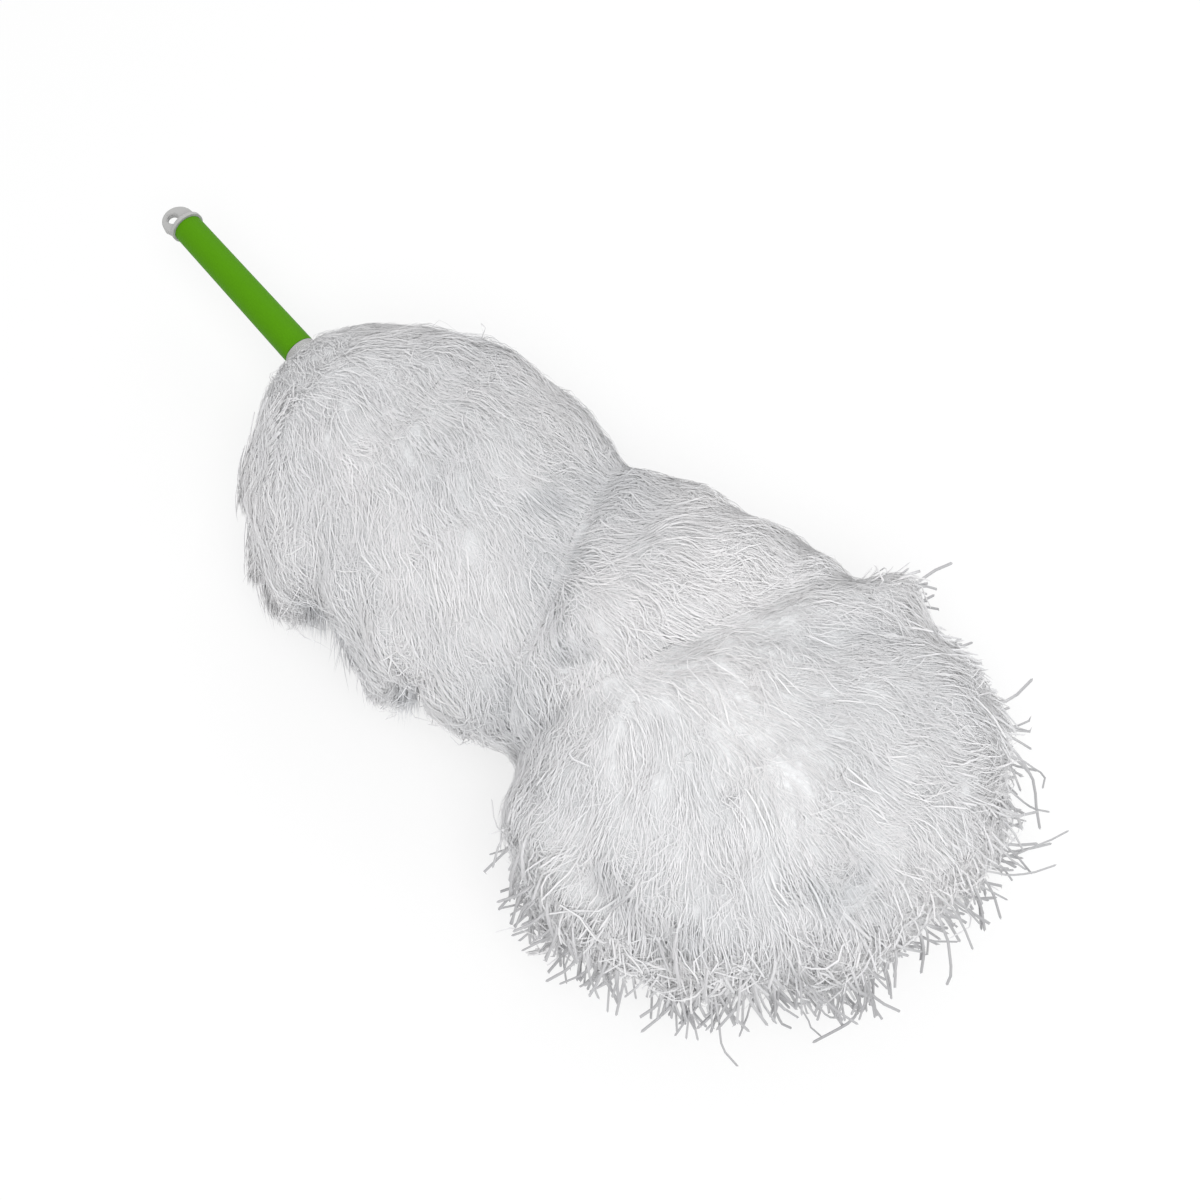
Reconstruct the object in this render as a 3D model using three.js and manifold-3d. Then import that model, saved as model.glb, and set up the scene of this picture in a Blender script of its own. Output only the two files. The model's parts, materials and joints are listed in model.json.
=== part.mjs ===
// Microfiber duster: a push-on tube handle with a hanging cap, and a shaggy head wound on a core
// Millimetres. +X runs along the duster from the hanging eye to the tip of the head, +Y is its left
// side seen from behind the handle and +Z is up. The duster lies on its fringe, which is flat at z = 0.
import * as THREE from 'three';
import { mergeVertices } from 'three/addons/utils/BufferGeometryUtils.js';
import Module from 'manifold-3d';

// Clearances
const partGap = 0.3;
const cutOverrun = 1;

// Duster as a whole: x = 0 is where the handle tube meets the collar, and the axis runs level
const axisHeight = 60;

// Handle tube
const tubeLength = 109.6;
const tubeDiameter = 20;
const tubeFarDiameter = 18.3;
const tubeWall = 1.5;
const tubeSides = 40;

// Ferrule: spigot for the tube, collar that shows, and sleeve that holds the core
const spigotLength = 45;
const spigotWall = 2;
const spigotLead = 2;
const collarLength = 10;
const collarEdge = 0.8;
const sleeveLength = 16;
const sleeveWall = 1.8;
const coreStop = 2;

// Core tube, wound over by the tape, which ends short of the fringe's tip
const coreDiameter = 12;
const coreWall = 1.2;
const coreSetback = 58;
const coreSides = 24;

// Rivet through sleeve and core
const rivetDiameter = 3;
const rivetHeadDiameter = 5.2;
const rivetHeadThickness = 0.9;
const rivetSides = 16;

// Plug in the open end of the core
const plugStemLength = 12;
const plugHeadDiameter = 15;
const plugHeadThickness = 3;
const plugEdge = 0.8;

// Tape that carries the fringe, wound round the core, with its inset from the sleeve and the core's end
const tapeInset = 4;
const tapeWidth = 40;
const tapePitch = 48;
const tapeThickness = 1.2;
const tapeStepsPerTurn = 10;
const tailWidth = 6;
const tailThickness = 0.9;
const tailReach = 17;
const tailFold = 1.5;

// Wire bands on the tape's two ends
const bandWire = 1.5;
const bandInset = 4;
const bandSides = 24;

// Hanging cap: snap plug inside the tube, round flange over its end, and flat eye
const capPlugLength = 14;
const capPlugWall = 2;
const snapDepth = 0.8;
const snapLength = 2;
const snapInset = 7;
const flangeDiameter = 21;
const flangeThickness = 3;
const flangeEdge = 1;
const eyeThickness = 5;
const eyeEdge = 0.8;
const eyeRadius = 9.9;
const eyeReach = 6.8;
const eyeOffset = 1.6;
const eyeHoleDiameter = 6.6;
const eyeHoleReach = 10.1;
const eyeHoleOffset = 3.6;
const eyeArcSteps = 20;
const eyeHoleSteps = 16;

// Fringe: how far its packed pile reaches from the axis, before the strands that stand out of it
const fringeLength = 446.5;
const fringeLeftReach = 153;
const fringeRightReach = 103;
const fringeRise = 80;
const restCutDepth = 0.5;
const fringeSides = 24;
const fringeRoundness = 2.5;
const lobeGap = 0.5;
const boreSides = 32;

// Strands: spindles with one end sunk in the pile, a thick middle and a free end. Scatter is in
// radians, and in shares of the length.
const strandLength = 44;
const strandWidth = 5.6;
const strandThickness = 4;
const strandSink = 3.5;
const strandMiddleShare = 0.38;
const liftScatter = 0.06;
const swingScatter = 0.16;
const lengthScatter = 0.15;
const strandChecks = 5;
const strandTries = 4000;
const rowHalvings = 12;
const undersideSine = -0.45;
const spreadShares = [0.7548776662, 0.569840291];

// Cross sections of the pile, one row each, as shares chosen by hand: place along the fringe, lean of
// the section across it, and reach to the left, to the right, up and down. A negative reach to the
// right puts the whole section to the left of the axis.
const neckShares = [
  [0, 0, 0.105, 0.155, 0.2, 0.264],
  [0.01, 0, 0.196, 0.33, 0.35, 0.496],
  [0.041, 0, 0.291, 0.476, 0.537, 0.76],
  [0.095, -0.04, 0.395, 0.738, 0.738, 0.96],
  [0.142, -0.12, 0.448, 0.893, 0.825, 1],
  [0.189, -0.22, 0.497, 0.971, 0.863, 1],
  [0.212, -0.3, 0.507, 0.883, 0.825, 0.942],
];
const shoulderShares = [
  [0.212, -0.3, 0.51, 0.883, 0.831, 0.942],
  [0.243, -0.34, 0.539, 0.903, 0.875, 1],
  [0.301, -0.38, 0.578, 0.893, 0.9, 1],
  [0.355, -0.42, 0.592, 0.786, 0.887, 1],
  [0.411, -0.46, 0.595, 0.699, 0.838, 1],
  [0.454, -0.48, 0.582, 0.65, 0.775, 0.96],
  [0.471, -0.49, 0.562, 0.612, 0.713, 0.876],
];
const waistShares = [
  [0.471, -0.49, 0.562, 0.612, 0.719, 0.876],
  [0.498, -0.34, 0.627, 0.607, 0.825, 1],
  [0.533, -0.13, 0.714, 0.607, 0.898, 1],
  [0.562, 0.06, 0.822, 0.607, 0.925, 1],
  [0.583, 0.19, 0.856, 0.602, 0.9, 1],
  [0.601, 0.28, 0.873, 0.583, 0.812, 0.909],
];
const frontShares = [
  [0.601, 0.28, 0.876, 0.587, 0.819, 0.909],
  [0.635, 0.24, 0.98, 0.689, 0.925, 1],
  [0.664, 0.19, 1, 0.854, 0.975, 1],
  [0.7, 0.13, 1, 0.951, 0.994, 1],
  [0.758, 0.04, 0.99, 1, 1, 1],
  [0.837, 0, 0.948, 0.854, 0.975, 1],
  [0.897, 0.02, 0.944, 0.709, 0.912, 0.96],
  [0.937, 0.03, 0.837, 0.524, 0.812, 0.876],
  [0.964, 0.04, 0.739, 0.33, 0.7, 0.76],
  [0.984, 0.05, 0.634, 0.155, 0.525, 0.562],
  [1, 0.06, 0.51, -0.097, 0.275, 0.298],
];

// Each lobe's pile, its count of strands, the stretch of the lobe that they stand on, and the angles
// in radians at which they rise from the pile at its start and end
const fringeLobes = [
  {
    name: 'fringe_neck',
    shares: neckShares,
    strands: 80,
    strandShares: [0.16, 0.86],
    lifts: [0.22, 0.18],
  },
  {
    name: 'fringe_shoulder',
    shares: shoulderShares,
    strands: 80,
    strandShares: [0.12, 0.86],
    lifts: [0.18, 0.18],
  },
  {
    name: 'fringe_waist',
    shares: waistShares,
    strands: 68,
    strandShares: [0.12, 0.84],
    lifts: [0.2, 0.2],
  },
  {
    name: 'fringe_front',
    shares: frontShares,
    strands: 130,
    strandShares: [0.1, 0.99],
    lifts: [0.24, 0.36],
  },
];

// Sizes that follow
const tubeRadius = tubeDiameter / 2;
const tubeFarRadius = tubeFarDiameter / 2;
const tubeTaper = (tubeRadius - tubeFarRadius) / tubeLength;
const spigotBoreRadius = tubeRadius - tubeTaper * (spigotLength + partGap) - tubeWall;
const farBoreRadius = tubeFarRadius - tubeWall;
const spigotRadius = spigotBoreRadius - partGap;
const coreRadius = coreDiameter / 2;
const coreBoreRadius = coreRadius - coreWall;
const sleeveBoreRadius = coreRadius + partGap;
const sleeveRadius = sleeveBoreRadius + sleeveWall;
const sleeveEnd = collarLength + sleeveLength;
const capPlugRadius = farBoreRadius - partGap;
const snapX = -tubeLength + snapInset;
const tapeInnerRadius = (coreRadius + partGap) / Math.cos(Math.PI / tapeStepsPerTurn);
const tapeOuterRadius = tapeInnerRadius + tapeThickness;
const fringeStart = collarLength + tailThickness + 2 * partGap;
const coreEnd = fringeStart + fringeLength - coreSetback;
const tapeStart = sleeveEnd + tapeInset;
const tapeEnd = coreEnd - tapeInset;
const tapeRun = tapeEnd - tapeWidth - tapeStart;
const tapeTurns = tapeRun / tapePitch;
const tailInnerRadius = sleeveRadius + partGap;
const tailOuterRadius = tailInnerRadius + tailThickness;
const bandInnerRadius = tapeOuterRadius + partGap;
const bandOuterRadius = bandInnerRadius + bandWire;
const rivetX = (collarLength + sleeveEnd) / 2;
const rivetHeight = Math.hypot(sleeveRadius, rivetHeadDiameter / 2) + partGap;
const narrowBoreRadius = (tapeOuterRadius + partGap) / Math.cos(Math.PI / boreSides);
const wideBoreRadius = (Math.max(
  Math.hypot(rivetHeight + rivetHeadThickness, rivetHeadDiameter / 2),
  Math.hypot(tailOuterRadius, tailWidth / 2),
  bandOuterRadius,
  plugHeadDiameter / 2,
) + partGap) / Math.cos(Math.PI / boreSides);

const wasm = await Module();
wasm.setup();

const plasticWhite = { color: 0xd2d2d4, roughness: 0.42, metalness: 0 };
const plasticGreen = { color: 0x589b14, roughness: 0.38, metalness: 0 };
const plasticCore = { color: 0x8c8f92, roughness: 0.55, metalness: 0 };
const steel = { color: 0xa9acb0, roughness: 0.35, metalness: 1 };
const tapeGrey = { color: 0x9b9b9c, roughness: 0.95, metalness: 0 };
const microfiber = { color: 0xe6e6e8, roughness: 0.95, metalness: 0 };

// Turns a closed geometry into a solid that can be cut and joined
function solidOf(geometry) {
  const bare = geometry.clone();
  bare.deleteAttribute('normal');
  bare.deleteAttribute('uv');
  const merged = mergeVertices(bare);
  const vertProperties = new Float32Array(merged.attributes.position.array);
  const triVerts = new Uint32Array(merged.index.array);
  return new wasm.Manifold(new wasm.Mesh({ numProp: 3, vertProperties, triVerts }));
}

// Turns a solid back into a geometry
function geometryOf(solid) {
  const mesh = solid.getMesh();
  const geometry = new THREE.BufferGeometry();
  geometry.setAttribute('position', new THREE.BufferAttribute(mesh.vertProperties, 3));
  geometry.setIndex(new THREE.BufferAttribute(mesh.triVerts, 1));
  geometry.computeVertexNormals();
  return geometry;
}

// Makes a named piece
function piece(name, geometry, look) {
  const mesh = new THREE.Mesh(geometry, new THREE.MeshStandardMaterial(look));
  mesh.name = name;
  return mesh;
}

// Turns a profile of [place along X, radius] about the duster's axis. The profile runs towards -X on
// its outside, and is reversed for the lathe so that the faces point out.
function turned(profile, sides) {
  const points = profile.map(([x, radius]) => new THREE.Vector2(radius, x)).reverse();
  const geometry = new THREE.LatheGeometry(points, sides);
  geometry.rotateZ(-Math.PI / 2);
  return geometry;
}

// Joins rings of equally many points into one closed body. Each ring runs round its body the same way,
// right-handed about the way that the rings follow each other.
function lofted(rings) {
  const count = rings[0].length;
  const positions = rings.flat().flatMap((p) => [p.x, p.y, p.z]);
  const index = [];
  for (let i = 0; i + 1 < rings.length; i += 1) {
    for (let j = 0; j < count; j += 1) {
      const next = (j + 1) % count;
      const a = i * count + j;
      const b = i * count + next;
      index.push(a, b, b + count, a, b + count, a + count);
    }
  }
  const last = (rings.length - 1) * count;
  for (let j = 1; j + 1 < count; j += 1) {
    index.push(0, j + 1, j);
    index.push(last, last + j, last + j + 1);
  }
  const geometry = new THREE.BufferGeometry();
  geometry.setAttribute('position', new THREE.Float32BufferAttribute(positions, 3));
  geometry.setIndex(index);
  return geometry;
}

// Repeatable scatter between -1 and 1
function scatter(number, salt) {
  const wave = Math.sin((number + 1) * 12.9898 + salt * 78.233) * 43758.5453;
  return 2 * (wave - Math.floor(wave)) - 1;
}

function hangCap() {
  const start = -tubeLength - partGap;
  const hollowRadius = capPlugRadius - capPlugWall;
  const plugEnd = start + capPlugLength;
  const back = start - flangeThickness;
  const flangeRadius = flangeDiameter / 2;
  const body = turned([
    [plugEnd, hollowRadius],
    [plugEnd, capPlugRadius],
    [snapX + snapLength, capPlugRadius],
    [snapX, capPlugRadius + snapDepth],
    [snapX - snapLength / 2, capPlugRadius],
    [start, capPlugRadius],
    [start, flangeRadius],
    [back + flangeEdge, flangeRadius],
    [back, flangeRadius - flangeEdge],
    [back, 0],
    [start, 0],
    [start, hollowRadius],
    [plugEnd, hollowRadius],
  ], tubeSides);
  return piece('hang_cap', geometryOf(solidOf(body).add(solidOf(eyePlate()))), plasticWhite);
}

// Flat eye, its loop set a little to the right, as a plate with rounded edges and a hole
function eyePlate() {
  const root = -tubeLength - partGap - flangeThickness / 2;
  const shoulder = flangeDiameter / 2 - flangeEdge - eyeEdge;
  const centre = [-tubeLength - eyeReach, -eyeOffset];
  const radius = eyeRadius - eyeEdge;
  const outline = new THREE.Shape();
  outline.moveTo(root, -shoulder);
  outline.lineTo(root, shoulder);
  for (let i = 0; i <= eyeArcSteps; i += 1) {
    const angle = Math.PI / 2 + (Math.PI * i) / eyeArcSteps;
    outline.lineTo(centre[0] + radius * Math.cos(angle), centre[1] + radius * Math.sin(angle));
  }
  outline.closePath();
  const holeRadius = eyeHoleDiameter / 2 + eyeEdge;
  const hole = new THREE.Path();
  for (let i = 0; i < eyeHoleSteps; i += 1) {
    const angle = (-2 * Math.PI * i) / eyeHoleSteps;
    const x = -tubeLength - eyeHoleReach + holeRadius * Math.cos(angle);
    const y = -eyeHoleOffset + holeRadius * Math.sin(angle);
    if (i === 0) {
      hole.moveTo(x, y);
    } else {
      hole.lineTo(x, y);
    }
  }
  hole.closePath();
  outline.holes.push(hole);
  const flat = eyeThickness - 2 * eyeEdge;
  const geometry = new THREE.ExtrudeGeometry(outline, {
    depth: flat,
    bevelThickness: eyeEdge,
    bevelSize: eyeEdge,
    bevelSegments: 1,
  });
  geometry.translate(0, 0, -flat / 2);
  return geometry;
}

function handleTube() {
  const near = -partGap;
  const step = near - spigotLength;
  const groove = snapDepth + partGap;
  const profile = [
    [near, spigotBoreRadius],
    [near, tubeRadius],
    [-tubeLength, tubeFarRadius],
    [-tubeLength, farBoreRadius],
    [snapX - snapLength / 2 - partGap, farBoreRadius],
    [snapX, capPlugRadius + groove],
    [snapX + snapLength + partGap, farBoreRadius],
    [step - partGap, farBoreRadius],
    [step - partGap, spigotBoreRadius],
    [near, spigotBoreRadius],
  ];
  return piece('handle_tube', turned(profile, tubeSides), plasticGreen);
}

function ferrule() {
  const lightBoreRadius = spigotRadius - spigotWall;
  const floor = -spigotWall;
  const body = turned([
    [sleeveEnd, sleeveBoreRadius],
    [sleeveEnd, sleeveRadius],
    [collarLength, sleeveRadius],
    [collarLength, tubeRadius - collarEdge],
    [collarLength - collarEdge, tubeRadius],
    [0, tubeRadius],
    [0, spigotRadius],
    [-spigotLength + spigotLead, spigotRadius],
    [-spigotLength, spigotRadius - spigotLead / 2],
    [-spigotLength, lightBoreRadius],
    [floor, lightBoreRadius],
    [floor, 0],
    [coreStop, 0],
    [coreStop, sleeveBoreRadius],
    [sleeveEnd, sleeveBoreRadius],
  ], tubeSides);
  const drilled = solidOf(body).subtract(solidOf(rivetHole()));
  return piece('ferrule', geometryOf(drilled), plasticWhite);
}

// Upright hole for the rivet, through sleeve and core
function rivetHole() {
  const length = 2 * (sleeveRadius + cutOverrun);
  const geometry = new THREE.CylinderGeometry(
    rivetDiameter / 2 + partGap,
    rivetDiameter / 2 + partGap,
    length,
    rivetSides,
  );
  geometry.rotateX(Math.PI / 2);
  geometry.translate(rivetX, 0, 0);
  return geometry;
}

function coreTube() {
  const start = coreStop + partGap;
  const body = turned([
    [coreEnd, coreBoreRadius],
    [coreEnd, coreRadius],
    [start, coreRadius],
    [start, coreBoreRadius],
    [coreEnd, coreBoreRadius],
  ], coreSides);
  const drilled = solidOf(body).subtract(solidOf(rivetHole()));
  return piece('core_tube', geometryOf(drilled), plasticCore);
}

function coreRivet() {
  const head = rivetHeight + rivetHeadThickness;
  const profile = [
    [0, -head],
    [rivetHeadDiameter / 2, -head],
    [rivetHeadDiameter / 2, -rivetHeight],
    [rivetDiameter / 2, -rivetHeight],
    [rivetDiameter / 2, rivetHeight],
    [rivetHeadDiameter / 2, rivetHeight],
    [rivetHeadDiameter / 2, head],
    [0, head],
  ].map(([radius, height]) => new THREE.Vector2(radius, height));
  const geometry = new THREE.LatheGeometry(profile, rivetSides);
  geometry.rotateX(Math.PI / 2);
  const rivet = piece('core_rivet', geometry, steel);
  rivet.position.x = rivetX;
  return rivet;
}

function tipPlug() {
  const head = coreEnd + partGap;
  const headRadius = plugHeadDiameter / 2;
  const stemRadius = coreBoreRadius - partGap;
  const profile = [
    [head + plugHeadThickness, 0],
    [head + plugHeadThickness, headRadius - plugEdge],
    [head + plugHeadThickness - plugEdge, headRadius],
    [head, headRadius],
    [head, stemRadius],
    [coreEnd - plugStemLength + plugEdge, stemRadius],
    [coreEnd - plugStemLength, stemRadius - plugEdge],
    [coreEnd - plugStemLength, 0],
  ];
  return piece('tip_plug', turned(profile, coreSides), plasticCore);
}

// Tape wound round the core as one flat helix, from its start at the neck to its end at the tip
function woundTape() {
  const steps = Math.ceil(tapeTurns * tapeStepsPerTurn);
  const startAngle = Math.PI - Math.PI / tapeStepsPerTurn;
  const rings = [];
  for (let i = 0; i <= steps; i += 1) {
    const angle = startAngle + (2 * Math.PI * tapeTurns * i) / steps;
    const x = tapeStart + (tapeRun * i) / steps;
    const corner = (along, radius) => new THREE.Vector3(
      x + along,
      radius * Math.cos(angle),
      radius * Math.sin(angle),
    );
    rings.push([
      corner(0, tapeInnerRadius),
      corner(tapeWidth, tapeInnerRadius),
      corner(tapeWidth, tapeOuterRadius),
      corner(0, tapeOuterRadius),
    ]);
  }
  return lofted(rings);
}

// Tail of the tape: joined to its start, laid along the sleeve and turned out past the collar
function tapeTail() {
  const lip = collarLength + partGap;
  const joint = tapeStart + tailFold;
  const shape = new THREE.Shape([
    [lip, -tailReach],
    [lip + tailThickness, -tailReach],
    [lip + tailThickness, -tailOuterRadius],
    [joint, -tailOuterRadius],
    [joint, -tapeInnerRadius],
    [tapeStart, -tapeInnerRadius],
    [tapeStart, -tailInnerRadius],
    [lip, -tailInnerRadius],
  ].map(([x, y]) => new THREE.Vector2(x, y)));
  const geometry = new THREE.ExtrudeGeometry(shape, { depth: tailWidth, bevelEnabled: false });
  geometry.translate(0, 0, -tailWidth / 2);
  return geometry;
}

function backingTape() {
  const joined = solidOf(woundTape()).add(solidOf(tapeTail()));
  return piece('backing_tape', geometryOf(joined), tapeGrey);
}

// Wire band round the tape, square in section with its corners cut
function band(name, x) {
  const cut = bandWire / 4;
  const profile = [
    [x + bandWire / 2 - cut, bandInnerRadius],
    [x + bandWire / 2, bandInnerRadius + cut],
    [x + bandWire / 2, bandOuterRadius - cut],
    [x + bandWire / 2 - cut, bandOuterRadius],
    [x - bandWire / 2 + cut, bandOuterRadius],
    [x - bandWire / 2, bandOuterRadius - cut],
    [x - bandWire / 2, bandInnerRadius + cut],
    [x - bandWire / 2 + cut, bandInnerRadius],
    [x + bandWire / 2 - cut, bandInnerRadius],
  ];
  return piece(name, turned(profile, bandSides), steel);
}

// Reads a lobe's table between its rows: row is a number from 0 to the last row
function sectionAt(shares, row) {
  const low = Math.min(Math.floor(row), shares.length - 2);
  const part = row - low;
  const [along, lean, left, right, up, down] = shares[low].map(
    (value, column) => value + (shares[low + 1][column] - value) * part,
  );
  return {
    x: fringeStart + along * fringeLength,
    lean,
    left: left * fringeLeftReach,
    right: right * fringeRightReach,
    up: up * fringeRise,
    down: down * (axisHeight + restCutDepth),
  };
}

// Point on the pile's surface: angle runs from the left side up over the top
function pilePoint(shares, row, angle) {
  const section = sectionAt(shares, row);
  const power = 2 / fringeRoundness;
  const across = Math.sign(Math.cos(angle)) * Math.abs(Math.cos(angle)) ** power;
  const upward = Math.sign(Math.sin(angle)) * Math.abs(Math.sin(angle)) ** power;
  const middle = (section.left - section.right) / 2;
  const y = middle + ((section.left + section.right) / 2) * across;
  const z = (upward > 0 ? section.up : section.down) * upward;
  return new THREE.Vector3(section.x + section.lean * y, y, z);
}

// Pile of one lobe, pulled back from the next lobe by the gap between them
function pile(shares) {
  const rings = shares.map((_, row) => {
    const shift = row === shares.length - 1 ? -lobeGap : 0;
    return Array.from({ length: fringeSides }, (__, side) => {
      const point = pilePoint(shares, row, (2 * Math.PI * side) / fringeSides);
      point.x += shift;
      return point;
    });
  });
  return solidOf(lofted(rings));
}

// Room for the core, the tape, the bands and the rivet, through the lobes and blind at the tip
function fringeBore() {
  const open = fringeStart - cutOverrun;
  const neckEnd = tapeStart + 2 * bandInset;
  const tipStart = tapeEnd - 2 * bandInset;
  const tipEnd = coreEnd + plugHeadThickness + 2 * partGap;
  const profile = [
    [tipEnd, 0],
    [tipEnd, wideBoreRadius],
    [tipStart, wideBoreRadius],
    [tipStart, narrowBoreRadius],
    [neckEnd, narrowBoreRadius],
    [neckEnd, wideBoreRadius],
    [open, wideBoreRadius],
    [open, 0],
  ];
  return solidOf(turned(profile, boreSides));
}

// Everything below the surface that the duster lies on
function ground() {
  const depth = axisHeight;
  const geometry = new THREE.BoxGeometry(2 * fringeLength, 4 * fringeLeftReach, depth);
  geometry.translate(fringeLength, 0, -axisHeight - depth / 2);
  return solidOf(geometry);
}

// Row of a lobe's table at a share of the lobe's run
function rowAt(shares, share) {
  const first = shares[0][0];
  const along = first + share * (shares[shares.length - 1][0] - first);
  const next = shares.findIndex(([place]) => place > along);
  const low = (next < 0 ? shares.length - 1 : next) - 1;
  return low + (along - shares[low][0]) / (shares[low + 1][0] - shares[low][0]);
}

// Line of one strand, combed towards the tip: its sunk end, middle and free end, and the ways across
// it and up from it
function strandLine(lobe, share, angle, number) {
  const { shares, lifts } = lobe;
  const step = 0.02;
  const row = Math.min(Math.max(rowAt(shares, share), step), shares.length - 1 - step);
  const along = pilePoint(shares, row + step, angle).sub(pilePoint(shares, row - step, angle)).normalize();
  const around = pilePoint(shares, row, angle + step)
    .sub(pilePoint(shares, row, angle - step)).normalize();
  const outward = new THREE.Vector3().crossVectors(around, along).normalize();
  const forward = new THREE.Vector3().crossVectors(outward, around).normalize();
  const lift = lifts[0] + (lifts[1] - lifts[0]) * share + liftScatter * scatter(number, 2);
  const direction = forward.multiplyScalar(Math.cos(lift))
    .addScaledVector(outward, Math.sin(lift))
    .addScaledVector(around, swingScatter * scatter(number, 1))
    .normalize();
  const side = new THREE.Vector3().crossVectors(direction, outward).normalize();
  const top = new THREE.Vector3().crossVectors(side, direction).normalize();
  const reach = strandLength * (1 + lengthScatter * scatter(number, 3));
  const start = pilePoint(shares, row, angle).addScaledVector(outward, -strandSink);
  const middle = start.clone().addScaledVector(direction, reach * strandMiddleShare);
  const end = start.clone().addScaledVector(direction, reach).addScaledVector(top, -strandThickness / 2);
  return { start, middle, end, side, top };
}

// Points along a strand, each with the strand's half width there
function strandSamples({ start, middle, end }) {
  const samples = [];
  for (let i = 0; i <= strandChecks; i += 1) {
    const part = i / strandChecks;
    const full = (strandWidth / 2) * (1 - part);
    samples.push({ point: middle.clone().lerp(end, part), half: full });
    samples.push({ point: middle.clone().lerp(start, part), half: full });
  }
  return samples;
}

// True if a point lies in a lobe's pile, or nearer to it than the margin
function isInPile(shares, point, margin) {
  let low = 0;
  let high = shares.length - 1;
  const isPast = (row) => {
    const { x, lean } = sectionAt(shares, row);
    return x + lean * point.y > point.x;
  };
  if (isPast(low) || !isPast(high)) {
    return false;
  }
  for (let i = 0; i < rowHalvings; i += 1) {
    const middle = (low + high) / 2;
    [low, high] = isPast(middle) ? [low, middle] : [middle, high];
  }
  const { left, right, up, down } = sectionAt(shares, high);
  const across = Math.max(Math.abs(point.y - (left - right) / 2) - margin, 0) / ((left + right) / 2);
  const upward = Math.max(Math.abs(point.z) - margin, 0) / (point.z > 0 ? up : down);
  return across ** fringeRoundness + upward ** fringeRoundness < 1;
}

// True if a strand keeps clear of the other lobes' piles and of all strands already placed
function isClear(samples, lobe, placed) {
  const isOutside = fringeLobes.every((other) => other === lobe
    || samples.every(({ point, half }) => !isInPile(other.shares, point, half + partGap)));
  return isOutside && placed.every((other) => samples[0].point.distanceTo(other[0].point) > 2 * strandLength
    || samples.every((a) => other.every((b) => a.point.distanceTo(b.point) > a.half + b.half + partGap)));
}

// Places a lobe's strands evenly over its top and sides, each clear of those already placed
function strandLines(lobe, placed) {
  const lines = [];
  for (let number = 0; lines.length < lobe.strands && number < strandTries; number += 1) {
    const share = lobe.strandShares[0]
      + (lobe.strandShares[1] - lobe.strandShares[0]) * ((number * spreadShares[0]) % 1);
    const angle = 2 * Math.PI * ((number * spreadShares[1]) % 1);
    const line = strandLine(lobe, share, angle, number);
    const samples = strandSamples(line);
    if (Math.sin(angle) > undersideSine && isClear(samples, lobe, placed)) {
      lines.push(line);
      placed.push(samples);
    }
  }
  return lines;
}

// One strand: a closed body of six faces between two points, round a triangle
function strand({ start, middle, end, side, top }) {
  const corners = [[1 / 2, -1 / 3], [0, 2 / 3], [-1 / 2, -1 / 3]].map(([across, up]) => middle.clone()
    .addScaledVector(side, strandWidth * across)
    .addScaledVector(top, strandThickness * up));
  const geometry = new THREE.BufferGeometry();
  const positions = [start, ...corners, end].flatMap((p) => [p.x, p.y, p.z]);
  geometry.setAttribute('position', new THREE.Float32BufferAttribute(positions, 3));
  geometry.setIndex([0, 1, 2, 0, 2, 3, 0, 3, 1, 4, 2, 1, 4, 3, 2, 4, 1, 3]);
  return solidOf(geometry);
}

function fringe(lobe, placed) {
  let solid = pile(lobe.shares);
  strandLines(lobe, placed).forEach((line) => {
    solid = solid.add(strand(line));
  });
  const shaped = solid.subtract(fringeBore()).subtract(ground());
  return piece(lobe.name, geometryOf(shaped), microfiber);
}

// All lobes of the fringe, whose strands keep clear of each other's
function fringes() {
  const placed = [];
  return fringeLobes.map((lobe) => fringe(lobe, placed));
}

// The whole duster, moved so that its origin is under the middle of its box
const duster = new THREE.Group();
const pieces = new THREE.Group();
pieces.add(
  hangCap(),
  handleTube(),
  ferrule(),
  coreTube(),
  coreRivet(),
  tipPlug(),
  backingTape(),
  band('band_near', tapeStart + bandInset),
  band('band_tip', tapeEnd - bandInset),
  ...fringes(),
);
const box = new THREE.Box3().setFromObject(pieces, true);
const centre = box.getCenter(new THREE.Vector3());
pieces.position.set(-centre.x, -centre.y, -box.min.z);
duster.add(pieces);

export default duster;
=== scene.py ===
"""Blender scene of a microfiber duster that lies on a pale floor.

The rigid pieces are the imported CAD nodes, which get their finishes here. The fringe is grown on the
pile's outer shape: a matted padding for each lobe, thousands of combed strands, pointed locks on the right
side, fine strands by the collar, and the loose yarn ends round the front of the head.

Sizes of the fringe are in millimetres from the middle of the joint between collar and handle: x towards
the tip of the head, y to the left and z up. Meshes are written in metres, in the CAD's own frame.
"""

import json
import logging
import math
from collections.abc import Callable
from dataclasses import dataclass, field
from enum import Enum

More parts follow.
